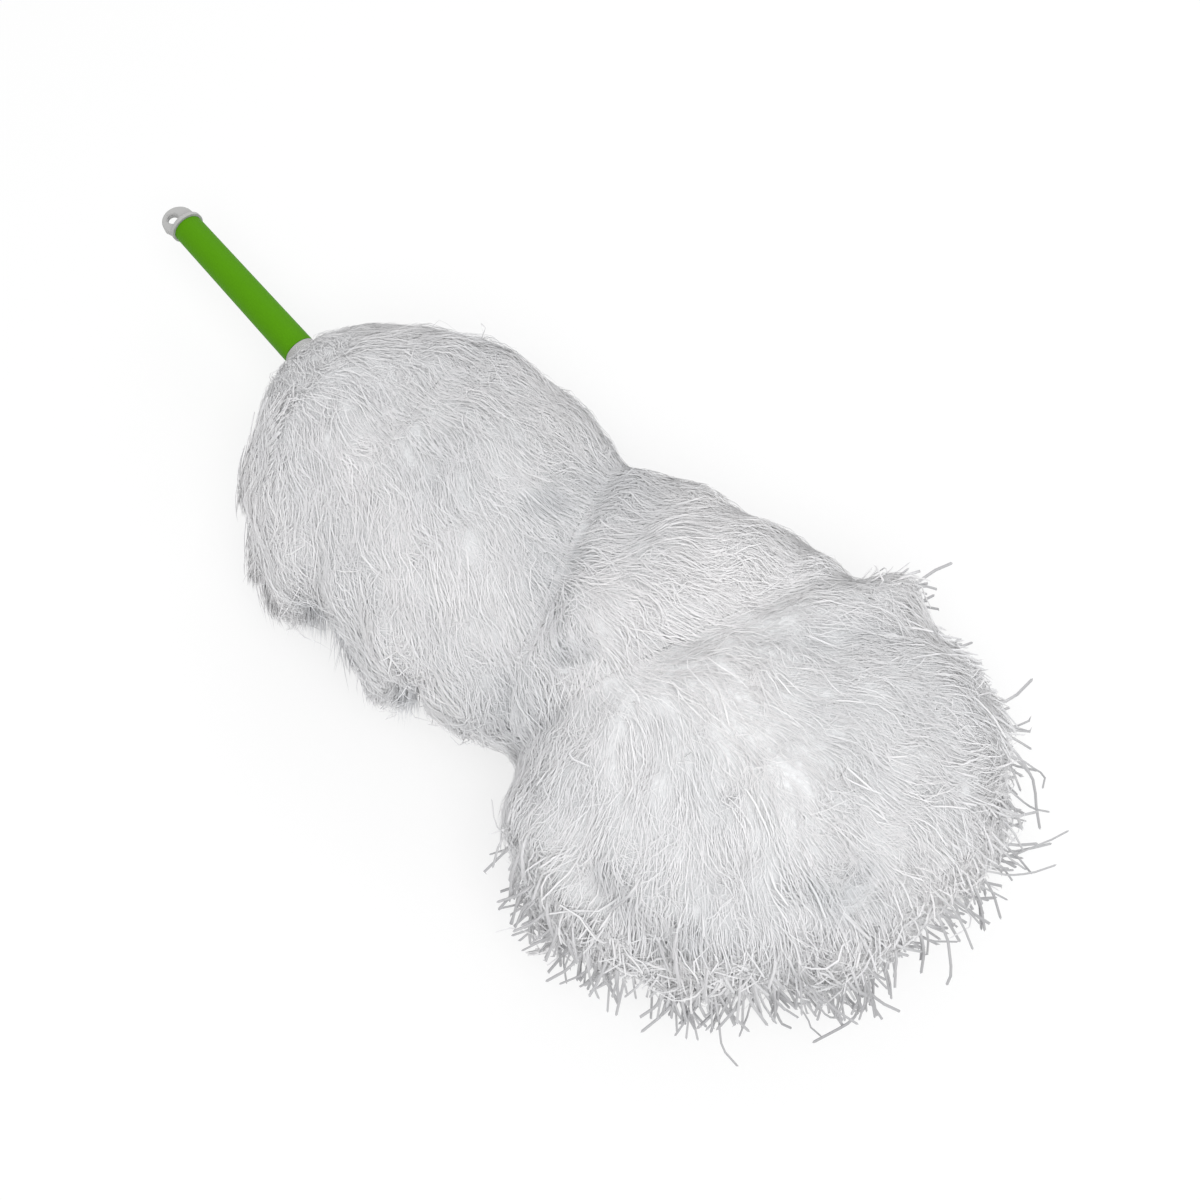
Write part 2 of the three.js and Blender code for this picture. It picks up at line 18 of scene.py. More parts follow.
import bpy
import numpy as np
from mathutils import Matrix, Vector


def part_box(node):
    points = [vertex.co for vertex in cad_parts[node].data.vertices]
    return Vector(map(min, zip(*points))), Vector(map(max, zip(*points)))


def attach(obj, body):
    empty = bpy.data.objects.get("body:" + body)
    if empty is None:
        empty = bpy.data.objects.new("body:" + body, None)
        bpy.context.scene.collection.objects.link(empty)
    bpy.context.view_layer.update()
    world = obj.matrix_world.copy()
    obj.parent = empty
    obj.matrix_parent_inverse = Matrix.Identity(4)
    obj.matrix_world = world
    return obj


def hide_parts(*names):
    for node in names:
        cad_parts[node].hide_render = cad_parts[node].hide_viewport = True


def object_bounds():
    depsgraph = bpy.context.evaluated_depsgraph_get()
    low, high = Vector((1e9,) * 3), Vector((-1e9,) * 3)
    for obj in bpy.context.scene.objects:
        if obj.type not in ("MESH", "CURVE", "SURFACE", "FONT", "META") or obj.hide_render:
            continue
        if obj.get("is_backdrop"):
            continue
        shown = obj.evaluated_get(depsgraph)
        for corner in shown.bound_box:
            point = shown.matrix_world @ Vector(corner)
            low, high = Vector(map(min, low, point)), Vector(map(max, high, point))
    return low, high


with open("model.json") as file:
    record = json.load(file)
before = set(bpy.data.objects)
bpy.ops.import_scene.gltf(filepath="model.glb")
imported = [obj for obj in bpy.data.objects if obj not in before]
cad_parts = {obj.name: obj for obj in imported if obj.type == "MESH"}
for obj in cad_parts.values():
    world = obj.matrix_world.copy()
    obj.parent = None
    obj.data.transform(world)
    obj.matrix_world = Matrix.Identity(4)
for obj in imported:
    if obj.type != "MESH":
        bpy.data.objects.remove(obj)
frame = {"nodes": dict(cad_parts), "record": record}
box_at_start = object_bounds()

log = logging.getLogger("duster")

METRES = 0.001
STRAND_MAP = "OFBake"

# The strand map keeps clear of its own edges: tones and ways along fill these spans after the margin, and
# the sides of a strand are shifted a little so that no face is flat on the map.
MAP_MARGIN = 0.03
MAP_TONES = 0.9
MAP_WAYS = 0.94
MAP_SHIFT = 0.01


class Body(Enum):
    """The moving body that the fringe rides on. CAD nodes keep the bodies that the record gives them."""

    HEAD = "head"


class Slot(Enum):
    """The record's material slots."""

    WHITE_PLASTIC = "white_plastic"
    GREEN_PLASTIC = "green_plastic"
    GREY_PLASTIC = "grey_plastic"
    STEEL = "steel"
    GREY_TAPE = "grey_tape"
    WHITE_MICROFIBER = "white_microfiber"


class Lobe(Enum):
    """The four lobes of the wound fringe, by the CAD node that each one stands for."""

    NECK = "fringe_neck"
    SHOULDER = "fringe_shoulder"
    WAIST = "fringe_waist"
    FRONT = "fringe_front"


# Shader maths


class Signal:
    """A value that runs through a shader, with Python's operators for its maths."""

    def __init__(self, tree: "ShaderTree", socket: bpy.types.NodeSocket) -> None:
        """Wraps one output socket of a tree."""
        self.tree = tree
        self.socket = socket

    def maths(self, operation: str, *values: object) -> "Signal":
        """Adds a Math node.

        Args:
            operation: The Math node's operation.
            values: Its inputs, as signals or numbers.

        Returns:
            The node's result.
        """
        return self.tree.add("ShaderNodeMath", {"operation": operation}, dict(enumerate(values)))

    def __add__(self, other: object) -> "Signal":
        """This plus another."""
        return self.maths("ADD", self, other)

    def __mul__(self, other: object) -> "Signal":
        """This times another."""
        return self.maths("MULTIPLY", self, other)

    def __pow__(self, other: object) -> "Signal":
        """This to a power."""
        return self.maths("POWER", self, other)

    __radd__ = __add__
    __rmul__ = __mul__


class ShaderTree:
    """The nodes of one material."""

    def __init__(self, name: str) -> None:
        """Starts a material with an empty tree."""
        self.material = bpy.data.materials.new(name)
        self.material.use_nodes = True
        self.nodes = self.material.node_tree.nodes
        self.nodes.clear()

    def add(
        self, kind: str, settings: dict | None = None, values: dict | None = None, output: int | str = 0
    ) -> Signal | None:
        """Adds any node.

        Args:
            kind: The node's type name.
            settings: Properties of the node, set first. A ramp's stops are (place, colour) pairs.
            values: What each input gets, by name or number: a signal is linked and anything else is set.
            output: Which of its outputs to return.

        Returns:
            That output as a signal.
        """
        node = self.nodes.new(kind)
        for key, value in (settings or {}).items():
            if key == "stops":
                for element, (place, colour) in zip(node.color_ramp.elements, value):
                    element.position, element.color = place, (*colour, 1)
            else:
                setattr(node, key, value)
        for key, value in (values or {}).items():
            if isinstance(value, Signal):
                self.material.node_tree.links.new(value.socket, node.inputs[key])
            else:
                node.inputs[key].default_value = value
        return Signal(self, node.outputs[output]) if node.outputs else None

    def place(self) -> Signal:
        """The point's place on the object."""
        return self.add("ShaderNodeTexCoord", output="Object")

    def noise(self, per_metre: float, detail: float, place: Signal | None = None) -> Signal:
        """Soft noise from 0 to 1, with so many patches a metre."""
        values = {"Vector": place or self.place(), "Scale": per_metre, "Detail": detail}
        return self.add("ShaderNodeTexNoise", values=values)

    def blend(self, share: Signal, first: tuple, second: tuple) -> Signal:
        """A colour between two, by a share from 0 to 1."""
        return self.add("ShaderNodeValToRGB", {"stops": [(0, first), (1, second)]}, {"Fac": share})

    def on_map(self, axis: str) -> Signal:
        """What the strand map says: the tone on its X axis, or the way from root to tip on its Y axis."""
        spot = self.add("ShaderNodeUVMap", {"uv_map": STRAND_MAP})
        return self.add("ShaderNodeSeparateXYZ", values={0: spot}, output=axis)

    def tinted(self, base: Signal | tuple, dim: tuple, bright: tuple) -> Signal:
        """A base colour times another, which runs from dim to bright by the tone of the strand map."""
        multiply = {"data_type": "RGBA", "blend_type": "MULTIPLY"}
        values = {0: 1.0, 6: base, 7: self.blend(self.on_map("X"), dim, bright)}
        return self.add("ShaderNodeMix", multiply, values, output=2)

    def mottled(self, share: Signal, colour: tuple, shade: float) -> Signal:
        """A colour that runs from a darker shade of itself, by a share from 0 to 1."""
        return self.blend(share, tuple(part * shade for part in colour), colour)

    def bump(self, height: Signal, depth: float) -> Signal:
        """A bump of a height signal, so many metres deep."""
        values = {"Height": height, "Strength": 1.0, "Distance": depth}
        return self.add("ShaderNodeBump", values=values, output="Normal")

    def surface(self, **values: object) -> bpy.types.Material:
        """Ends the tree in one Principled surface and returns the material."""
        named = {key.replace("_", " "): value for key, value in values.items()}
        shader = self.add("ShaderNodeBsdfPrincipled", values=named)
        self.add("ShaderNodeOutputMaterial", values={"Surface": shader})
        return self.material


# Finishes


@dataclass(frozen=True)
class Moulded:
    """Moulded plastic: one colour, a faint waviness of the skin and a little wear in its sheen."""

    name: str
    colour: tuple[float, float, float]
    roughness: float
    waviness: float = 0.00004
    sheen_level: float = 0.3
    grains_per_metre: float = 2400
    patches_per_metre: float = 90
    patch_shade: float = 0.94
    wear: float = 0.08

    def material(self) -> bpy.types.Material:
        """Builds the finish."""
        tree = ShaderTree(self.name)
        fine, broad = tree.noise(self.grains_per_metre, 3), tree.noise(self.patches_per_metre, 2)
        return tree.surface(
            Base_Color=tree.mottled(broad, self.colour, self.patch_shade),
            Roughness=broad * self.wear + (self.roughness - self.wear / 2),
            Normal=tree.bump(fine, self.waviness),
            Specular_IOR_Level=self.sheen_level,
        )


@dataclass(frozen=True)
class Drawn:
    """Drawn steel wire and a formed rivet: grey metal with fine streaks along the handle's axis."""

    name: str = "drawn_steel"
    colour: tuple[float, float, float] = (0.55, 0.56, 0.58)
    roughness: float = 0.32
    wear: float = 0.16
    streaks_per_metre: tuple[float, float, float] = (60, 2400, 2400)

    def material(self) -> bpy.types.Material:
        """Builds the finish."""
        tree = ShaderTree(self.name)
        values = {"Vector": tree.place(), "Scale": self.streaks_per_metre}
        streaks = tree.noise(1, 2, tree.add("ShaderNodeMapping", values=values))
        rough = streaks * self.wear + (self.roughness - self.wear / 2)
        return tree.surface(Base_Color=self.colour + (1,), Metallic=1.0, Roughness=rough)


@dataclass(frozen=True)
class Woven:
    """Narrow woven tape: the ribs of its weft as a bump, with a faint mottle.

    The wave texture shows about 3 bands for each unit of its scale.
    """

    name: str = "woven_tape"
    colour: tuple[float, float, float] = (0.33, 0.33, 0.34)
    roughness: float = 0.95
    ribs_per_metre: float = 900
    bands: float = 3
    sway: float = 1.5
    rib_height: float = 0.00015
    mottle_per_metre: float = 700
    mottle_shade: float = 0.7

    def material(self) -> bpy.types.Material:
        """Builds the finish."""
        tree = ShaderTree(self.name)
        ribs = tree.add(
            "ShaderNodeTexWave",
            {"bands_direction": "X"},
            {"Vector": tree.place(), "Scale": self.ribs_per_metre / self.bands, "Distortion": self.sway},
        )
        return tree.surface(
            Base_Color=tree.mottled(tree.noise(self.mottle_per_metre, 2), self.colour, self.mottle_shade),
            Roughness=self.roughness,
            Normal=tree.bump(ribs, self.rib_height),
        )


@dataclass(frozen=True)
class SplitYarn:
    """Split microfiber: white and dull, with painted shade towards each strand's root and in the furrows.

    The strand map gives the tone of a strand across it and the way from root to tip along it. A finish with
    a bare height is for yarns that stand out: their tone is the height over the pile, up to that many
    millimetres, and takes the root's colour to the tip's.
    """

    name: str = "microfiber_strands"
    root: tuple[float, float, float] = (0.85, 0.85, 0.86)
    tip: tuple[float, float, float] = (0.9, 0.9, 0.91)
    dim: tuple[float, float, float] = (0.8, 0.81, 0.82)
    bright: tuple[float, float, float] = (1.0, 0.99, 0.985)
    bare_height: float = 0
    roughness: float = 0.9
    sheen: float = 0.15
    way_power: float = 0.6

    def material(self) -> bpy.types.Material:
        """Builds the finish: root to tip by the way along and dim to bright by the tone, if not bare."""
        tree = ShaderTree(self.name)
        if self.bare_height:
            base = tree.tinted((1, 1, 1, 1), self.root, self.tip)
        else:
            # Painted shade: the root's colour is darker than the tip's.
            along = tree.blend(tree.on_map("Y") ** self.way_power, self.root, self.tip)
            # Dim to bright by the tone: painted shade in the furrows and a painted pool of light, over
            # random patches and locks.
            base = tree.tinted(along, self.dim, self.bright)
        return tree.surface(Base_Color=base, Roughness=self.roughness, Sheen_Weight=self.sheen)


LYING_YARN = SplitYarn("lying_yarns", root=(0.74, 0.74, 0.75), tip=(0.8, 0.8, 0.81))
# Painted shade: loose yarn ends grey the higher they stand over the pile, down to the tip's colour.
LOOSE_YARN = SplitYarn("loose_yarn_ends", root=(0.8, 0.8, 0.81), tip=(0.36, 0.36, 0.37), bare_height=13)


@dataclass(frozen=True)
class Felted:
    """The matted fibre under the strands, greyer than them as painted shade: paler tufts over painted shade
    in the hollows, and more painted shade in the furrows.
    """

    name: str = "microfiber_padding"
    # Painted shade: the low parts of the fibre's bump get this greyer colour.
    hollow_shade: tuple[float, float, float] = (0.75, 0.76, 0.77)
    tuft: tuple[float, float, float] = (0.84, 0.84, 0.845)
    dim: tuple[float, float, float] = (0.64, 0.65, 0.66)
    bright: tuple[float, float, float] = (0.96, 0.96, 0.96)
    roughness: float = 0.95
    tufts_per_metre: float = 420
    relief: float = 0.0005

    def material(self) -> bpy.types.Material:
        """Builds the finish."""
        tree = ShaderTree(self.name)
        fibre = tree.noise(self.tufts_per_metre, 5)
        return tree.surface(
            Base_Color=tree.tinted(tree.blend(fibre, self.hollow_shade, self.tuft), self.dim, self.bright),
            Roughness=self.roughness,
            Normal=tree.bump(fibre, self.relief),
        )


# Arrays of points


def unit(vectors: np.ndarray) -> np.ndarray:
    """Vectors of length one, along the last axis."""
    return vectors / np.maximum(np.linalg.norm(vectors, axis=-1, keepdims=True), 1e-9)


def along_surface(vectors: np.ndarray, normals: np.ndarray) -> np.ndarray:
    """Vectors less their part along the normals."""
    return vectors - (vectors * normals).sum(-1, keepdims=True) * normals


@dataclass(frozen=True)
class Ripple:
    """A smooth field of small pushes: a sum of sine waves, each with its own way, length and start."""

    seed: int
    shortest: float
    longest: float
    waves: int = 16

    def at(self, points: np.ndarray) -> np.ndarray:
        """The push at each point, about one long: the sines of the phases, times each wave's push."""
        rng = np.random.default_rng(self.seed)
        turns = unit(rng.normal(size=(self.waves, 3)))
        turns *= 2 * np.pi / np.geomspace(self.shortest, self.longest, self.waves)[:, None]
        phases = points @ turns.T + rng.uniform(0, 2 * np.pi, self.waves)
        return np.sin(phases) @ rng.normal(size=(self.waves, 3)) / math.sqrt(self.waves / 2)


@dataclass(frozen=True)
class Fade:
    """A share that grows from nothing at its start to 1 after its run, and never falls under its least."""

    start: float
    run: float
    least: float = 0

    def at(self, values: np.ndarray) -> np.ndarray:
        """The share at values: how far they are past the start, as a part of the run."""
        return np.clip((values - self.start) / self.run, self.least, 1)


@dataclass(frozen=True)
class Fold:
    """A soft furrow in the pile: its line seen from above, its depth and width, and where it grows.

    It grows from nothing at the first of two heights to its full depth at the second.
    """

    line: tuple[tuple[float, float], ...]
    depth: float
    width: float
    grows: tuple[float, float] = (-9, 21)

    def at(self, points: np.ndarray) -> np.ndarray:
        """How deep the furrow is: a bell of the distance from its line, times how far it has grown."""
        starts, ends = np.array(self.line[:-1], float), np.array(self.line[1:], float)
        near = np.full(points.shape[:-1], np.inf)
        for start, end in zip(starts, ends):
            run = end - start
            share = np.clip(((points[..., :2] - start) @ run) / (run @ run), 0, 1)
            apart = points[..., :2] - start - share[..., None] * run
            near = np.minimum(near, (apart**2).sum(-1))
        first, last = self.grows
        return self.depth * np.exp(-near / self.width**2) * Fade(first, last - first).at(points[..., 2])


# The side notches start 30 mm over the axis and are at their deepest from the axis down.
FLANK = (30, 0)


@dataclass
class Pile:
    """The outer shape of the whole fringe, as rounded cross-sections along the handle's axis.

    Each row of shares is: place along the fringe, lean of the section (x for each y), reach to the left and
    to the right, rise and drop. A section is a superellipse: across and upward shares of its reach are the
    cosine and sine of an angle, to the power of 2 over the roundness. Folds run over its top and into its
    right side. Slopes are measured over the probe's length, and none counts as less than the least slope.
    """

    start: float = 11.5
    length: float = 446.5
    left: float = 153
    right: float = 103
    rise: float = 80
    drop: float = 60.5
    roundness: float = 2.5
    smoothing: float = 3.5
    shares: dict[Lobe, list[list[float]]] = field(
        default_factory=lambda: {
            Lobe.NECK: [
                [0, 0, 0.105, 0.155, 0.2, 0.264],
                [0.01, 0, 0.196, 0.33, 0.35, 0.496],
                [0.041, 0, 0.291, 0.476, 0.537, 0.76],
                [0.095, -0.04, 0.395, 0.738, 0.738, 0.96],
                [0.142, -0.12, 0.448, 0.893, 0.825, 1],
                [0.189, -0.22, 0.497, 0.971, 0.863, 1],
                [0.212, -0.3, 0.507, 0.883, 0.825, 0.942],
            ],
            Lobe.SHOULDER: [
                [0.2125, -0.3, 0.51, 0.883, 0.831, 0.942],
                [0.243, -0.34, 0.539, 0.903, 0.875, 1],
                [0.301, -0.38, 0.578, 0.893, 0.9, 1],
                [0.355, -0.42, 0.592, 0.786, 0.887, 1],
                [0.411, -0.46, 0.595, 0.699, 0.838, 1],
                [0.454, -0.48, 0.582, 0.65, 0.775, 0.96],
                [0.471, -0.49, 0.562, 0.612, 0.713, 0.876],
            ],
            Lobe.WAIST: [
                [0.4715, -0.49, 0.562, 0.612, 0.719, 0.876],
                [0.498, -0.34, 0.627, 0.607, 0.825, 1],
                [0.533, -0.13, 0.714, 0.607, 0.898, 1],
                [0.562, 0.06, 0.822, 0.607, 0.925, 1],
                [0.583, 0.19, 0.856, 0.602, 0.9, 1],
                [0.601, 0.28, 0.873, 0.583, 0.812, 0.909],
            ],
            Lobe.FRONT: [
                [0.6015, 0.28, 0.876, 0.587, 0.819, 0.909],
                [0.635, 0.24, 0.98, 0.689, 0.925, 1],
                [0.664, 0.19, 1, 0.854, 0.975, 1],
                [0.7, 0.13, 1, 0.951, 0.994, 1],
                [0.758, 0.04, 0.99, 1, 1, 1],
                [0.837, 0, 0.948, 0.854, 0.975, 1],
                [0.897, 0.02, 0.944, 0.709, 0.912, 0.96],
                [0.937, 0.03, 0.837, 0.524, 0.812, 0.876],
                [0.964, 0.04, 0.739, 0.33, 0.7, 0.76],
                [0.984, 0.05, 0.634, 0.155, 0.525, 0.562],
                [1, 0.06, 0.51, -0.097, 0.275, 0.298],
                [1.012, 0.06, 0.3, -0.05, 0.1, 0.12],
            ],
        }
    )
    folds: tuple[Fold, ...] = (
        Fold(
            ((199, 73), (195, 58), (195, 38), (208, 20), (230, -2), (250, -23), (258, -47), (260, -62)),
            depth=2.4,
            width=17,
        ),
        Fold(((283, 20), (296, 39), (316, 60), (334, 83), (347, 105)), 2, 12),
        Fold(((255, -16), (262, -8)), 4, 6),
        Fold(((192, 38), (186, 24)), 3, 7),
        Fold(((351, -75), (382, -77), (401, -63)), 3, 6),
        Fold(((420, -5), (435, 2), (432, 24)), 3, 6),
        Fold(((114, -72), (130, -82), (146, -102)), 17, 9, FLANK),
        Fold(((150, -80), (160, -100)), 8, 9, FLANK),
        Fold(((196, -64), (206, -90)), 8, 6, FLANK),
        Fold(((70, -74), (72, -90)), 5, 6, FLANK),
    )
    fold_scale: float = 65
    lumps: Ripple = Ripple(seed=8, shortest=30, longest=110)
    lump_height: float = 0.8
    nose: tuple[float, float] = (0.975, 1.012)
    ends: tuple[float, float] = (-0.05, 1.25)
    bell_half: int = 12
    least_size: float = 1
    probe: float = 0.5
    least_slope: float = 0.004
    halvings: int = 18
    skin_tries: int = 3

    def __post_init__(self) -> None:
        """Draws the rows as smooth columns: straight lines between rows, averaged with a bell."""
        rows = np.array([row for lobe in self.shares.values() for row in lobe])
        self.places = np.arange(*self.ends, 1 / self.length)
        bell = np.exp(-0.5 * (np.arange(-self.bell_half, self.bell_half + 1) / self.smoothing) ** 2)
        bell /= bell.sum()
        drawn = [np.interp(self.places, rows[:, 0], column) for column in rows.T[1:]]
        padded = [np.pad(column, self.bell_half, mode="edge") for column in drawn]
        self.columns = [np.convolve(column, bell, mode="valid") for column in padded]

    def span(self, lobe: Lobe) -> tuple[float, float]:
        """Where a lobe begins and ends along the fringe."""
        return self.shares[lobe][0][0], self.shares[lobe][-1][0]

    def section(self, along: np.ndarray) -> tuple[np.ndarray, ...]:
        """Lean, middle, half width, rise and drop of the sections at these places."""
        lean, left, right, up, down = (np.interp(along, self.places, column) for column in self.columns)
        left, right = left * self.left, right * self.right
        sizes = (left + right) / 2, up * self.rise, down * self.drop
        return lean, (left - right) / 2, *(np.maximum(size, self.least_size) for size in sizes)

    def point(self, along: np.ndarray, angle: np.ndarray) -> np.ndarray:
        """Points of the skin at places along it and angles from the left over the top."""
        lean, middle, half, up, down = self.section(along)
        power = 2 / self.roundness
        across = np.sign(np.cos(angle)) * np.abs(np.cos(angle)) ** power
        upward = np.sign(np.sin(angle)) * np.abs(np.sin(angle)) ** power
        y = middle + half * across
        z = np.where(upward > 0, up, down) * upward
        x = self.start + along * self.length + lean * y
        return np.stack(np.broadcast_arrays(x, y, z), -1)

    def along(self, points: np.ndarray) -> np.ndarray:
        """The place along the fringe of the section that each point is in, found by halving its range."""
        x, y, _ = np.moveaxis(points, -1, 0)
        low, high = np.full(x.shape, self.places[0]), np.full(x.shape, self.places[-1])
        for _ in range(self.halvings):
            middle = (low + high) / 2
            lean = np.interp(middle, self.places, self.columns[0])
            is_past = self.start + middle * self.length + lean * y > x
            low, high = np.where(is_past, low, middle), np.where(is_past, middle, high)
        return (low + high) / 2

    def level(self, points: np.ndarray) -> np.ndarray:
        """How far out points lie as a share of the skin, which is 1.

        That is the superellipse's formula with a third term past the nose's start, and folds and lumps.
        """
        _, y, z = np.moveaxis(points, -1, 0)
        along = self.along(points)
        _, middle, half, up, down = self.section(np.minimum(along, self.nose[0]))
        tall = np.where(z > 0, up, down)
        past = np.maximum(along - self.nose[0], 0) / (self.nose[1] - self.nose[0])
        terms = np.abs((y - middle) / half), np.abs(z / tall), past
        level = sum(term**self.roundness for term in terms) ** (1 / self.roundness)
        lumps = self.lumps.at(points)[..., 0] * self.lump_height
        return level + (self.furrows(points) + lumps) / self.fold_scale

    def furrows(self, points: np.ndarray) -> np.ndarray:
        """How deep all furrows are at points."""
        return sum(fold.at(points) for fold in self.folds)

    def stand(self, points: np.ndarray) -> tuple[np.ndarray, np.ndarray]:
        """The skin's outward normals by points, and their heights over it.

        Args:
            points: Points near the skin.

        Returns:
            Unit normals, from the level's differences over the probe's length, and heights, which are the
            level less 1 over its slope.
        """
        here = self.level(points)
        steps = np.eye(3) * self.probe
        slopes = np.stack([(self.level(points + step) - here) / self.probe for step in steps], -1)
        steep = np.maximum(np.linalg.norm(slopes, axis=-1), self.least_slope)
        return unit(slopes), (here - 1) / steep

    def skin(self, along: np.ndarray, angle: np.ndarray) -> tuple[np.ndarray, np.ndarray]:
        """Points on the skin with its folds and lumps, moved there from the sections, and their normals."""
        points = self.point(along, angle)
        for _ in range(self.skin_tries):
            normals, height = self.stand(points)
            points = points - normals * height[..., None]
        return points, normals


@dataclass(frozen=True)
class Comb:
    """Which way the strands lie, seen from above: headings in degrees from the handle's axis to the left.

    The heading anywhere is the mean of the stated ones, each weighed by a bell of its distance. A far
    weight keeps the nearest ones in force where every bell has faded.
    """

    reach: float = 22
    far_weight: float = 1e-6
    places: tuple[tuple[float, float, float], ...] = (
        (16, 24, 60), (26, 2, 20), (25, -15, -24), (40, 50, 40), (61, 66, 22), (108, 88, 8),
        (144, 89, -6), (90, 28, 8), (104, 0, 0), (129, 53, 4), (56, -22, -10), (94, -20, -8),
        (76, -50, -25), (44, -56, -45), (138, -23, -30), (173, 8, -21), (115, -82, -42),
        (136, -57, -30), (83, -89, -48), (170, -36, -32), (184, -80, -40), (219, -63, -30),
        (150, -84, -40), (197, -21, -20), (233, -15, -8), (240, -41, -24), (179, 40, 4), (197, 53, 30),
        (222, 41, 38), (236, 19, 22), (236, 45, 38), (274, 73, 36), (222, 84, 29), (261, 118, 36),
        (289, 130, 24), (318, 135, 33), (315, 86, 40), (346, 128, 40), (355, 158, 45), (289, 35, 35),
        (336, 80, 45), (362, 94, 36), (386, 134, 38), (410, 144, 42), (338, 38, 20), (370, 58, 30),
        (410, 101, 33), (442, 117, 30), (456, 83, 12), (461, 51, -2), (456, 16, -14), (444, -25, -28),
        (423, -57, -40), (390, -78, -52), (355, -90, -66), (319, -97, -84), (304, -88, -105),
        (424, 45, 7), (413, 8, -14), (390, -32, -36), (354, -60, -56), (316, -62, -75), (330, -27, -40),
        (366, 0, -23), (394, 34, 8), (282, -45, -40), (259, -42, -26), (249, -16, -14), (283, -9, -10),
        (275, -68, -50),
    )

    def at(self, points: np.ndarray) -> np.ndarray:
        """Unit vectors of the lie, level with the floor."""
        table = np.array(self.places, float)
        apart = ((points[..., None, :2] - table[:, :2]) ** 2).sum(-1)
        weights = np.exp(-apart / (2 * self.reach**2)) + self.far_weight / (1 + apart)
        headings = np.radians(table[:, 2])
        lie = np.stack([weights @ np.cos(headings), weights @ np.sin(headings)], -1)
        return np.concatenate([unit(lie), np.zeros_like(lie[..., :1])], -1)


@dataclass(frozen=True)
class Yarn:
    """One kind of strand.

    Lengths are in millimetres. A strand rises from its root under the skin to its tip's height in steps,
    and at each step its way is part its own last way, part the comb's lie with a swirl and a sag, along the
    skin. Its last step is cut to the end step's share, for a blunt end. Its flatness is how much thinner it
    is across the pile's skin. Its smoothness is the share of the pile's own normal in its shading, because
    split fibre scatters light like fog, and upward is how far that normal is tilted up.
    """

    width: float
    length: tuple[float, float]
    tip_height: tuple[float, float]
    root_depth: float = 5
    height_skew: float = 1
    steps: int = 6
    sides: int = 3
    taper: float = 0.6
    stiffness: float = 0.35
    swirl: float = 0.7
    scatter: float = 0.45
    sag: float = 0.2
    clump: tuple[float, float] = (0.1, 0.6)
    guide_spacing: float = 15
    end_step: float = 1
    lift: float = 0.5
    flatness: float = 0
    smoothness: float = 0.92
    upward: float = 0.15


FINE_STRANDS = Yarn(
    width=0.4,
    length=(20, 42),
    tip_height=(-0.5, 0.3),
    root_depth=1.2,
    steps=5,
    guide_spacing=8,
    smoothness=0.95,
    upward=0.4,
)
FUZZ = Yarn(
    width=0.35,
    length=(9, 20),
    tip_height=(-0.2, 0.8),
    root_depth=1,
    smoothness=0.95,
    upward=0.4,
    steps=2,
    swirl=0.8,
    scatter=0.6,
    stiffness=0.5,
    clump=(0, 0.2),
)
LYING_YARNS = Yarn(
    width=1.1,
    length=(28, 60),
    tip_height=(0.5, 8),
    height_skew=1.5,
    root_depth=10,
    steps=8,
    sides=4,
    taper=0.25,
    stiffness=0.65,
    swirl=0.45,
    scatter=0.35,
    sag=0.5,
    clump=(0.1, 0.7),
    guide_spacing=10,
    end_step=0.3,
    smoothness=0.75,
    upward=0.9,
)
RIM_YARNS = Yarn(
    width=1.55,
    length=(22, 44),
    tip_height=(1, 26),
    root_depth=12,
    height_skew=2.6,
    steps=7,
    sides=5,
    taper=0.1,
    stiffness=0.88,
    swirl=0.3,
    scatter=1.1,
    clump=(0, 0.5),
    end_step=0.2,
    lift=0.8,
    smoothness=0.4,
    upward=0.5,
)
WISPS = Yarn(
    width=0.55,
    length=(26, 50),
    tip_height=(-0.2, 1.6),
    root_depth=1.5,
    height_skew=1.6,
    steps=5,
    swirl=0.6,
    scatter=0.5,
    stiffness=0.55,
    clump=(0.5, 0.95),
    flatness=0.4,
    upward=0.4,
)
STRAY_YARNS = Yarn(
    width=1.4,
    length=(48, 74),
    tip_height=(12, 30),
    root_depth=10,
    steps=10,
    sides=5,
    taper=0.1,
    stiffness=0.8,
    swirl=1.6,
    scatter=0.8,
    sag=0.7,
    clump=(0, 0.1),
    end_step=0.2,
    lift=0.6,
    smoothness=0.4,
    upward=0.9,
)
LOCK_STRANDS = Yarn(width=0.7, length=(0, 0), tip_height=(0, 0), steps=6, upward=0.9)


@dataclass(frozen=True)
class Lock:
    """A pointed lock of strands that hangs over the side of the pile, from its root to its tip."""

    lobe: Lobe
    root: tuple[float, float, float]
    tip: tuple[float, float, float]
    spread: float = 9
    point: float = 3
    strands: int = 280
    bulge: float = 6
    shortest: float = 0.85

    def grow(self, pile: Pile, rng: np.random.Generator) -> np.ndarray:
        """The lock's strands: parabolas from near the root, over points off the skin, to near the tip.

        Args:
            pile: The pile that it lies on.
            rng: Where its scatter comes from.

        Returns:
            Points by strand and step.
        """
        root, tip = np.array(self.root, float), np.array(self.tip, float)
        slope, _ = pile.stand(root)
        roots = root + along_surface(rng.normal(size=(self.strands, 3)), slope) * self.spread
        tips = tip + rng.normal(size=(self.strands, 3)) * self.point
        middle = (roots + tips) / 2
        normals, height = pile.stand(middle)
        middle = middle + normals * (self.bulge - np.minimum(height, 0))[:, None]
        share = np.linspace(0, 1, LOCK_STRANDS.steps + 1)[None, :, None]
        share = share * rng.uniform(self.shortest, 1, (self.strands, 1, 1))
        ends = roots[:, None] * (1 - share) ** 2 + tips[:, None] * share**2
        return ends + middle[:, None] * 2 * share * (1 - share)


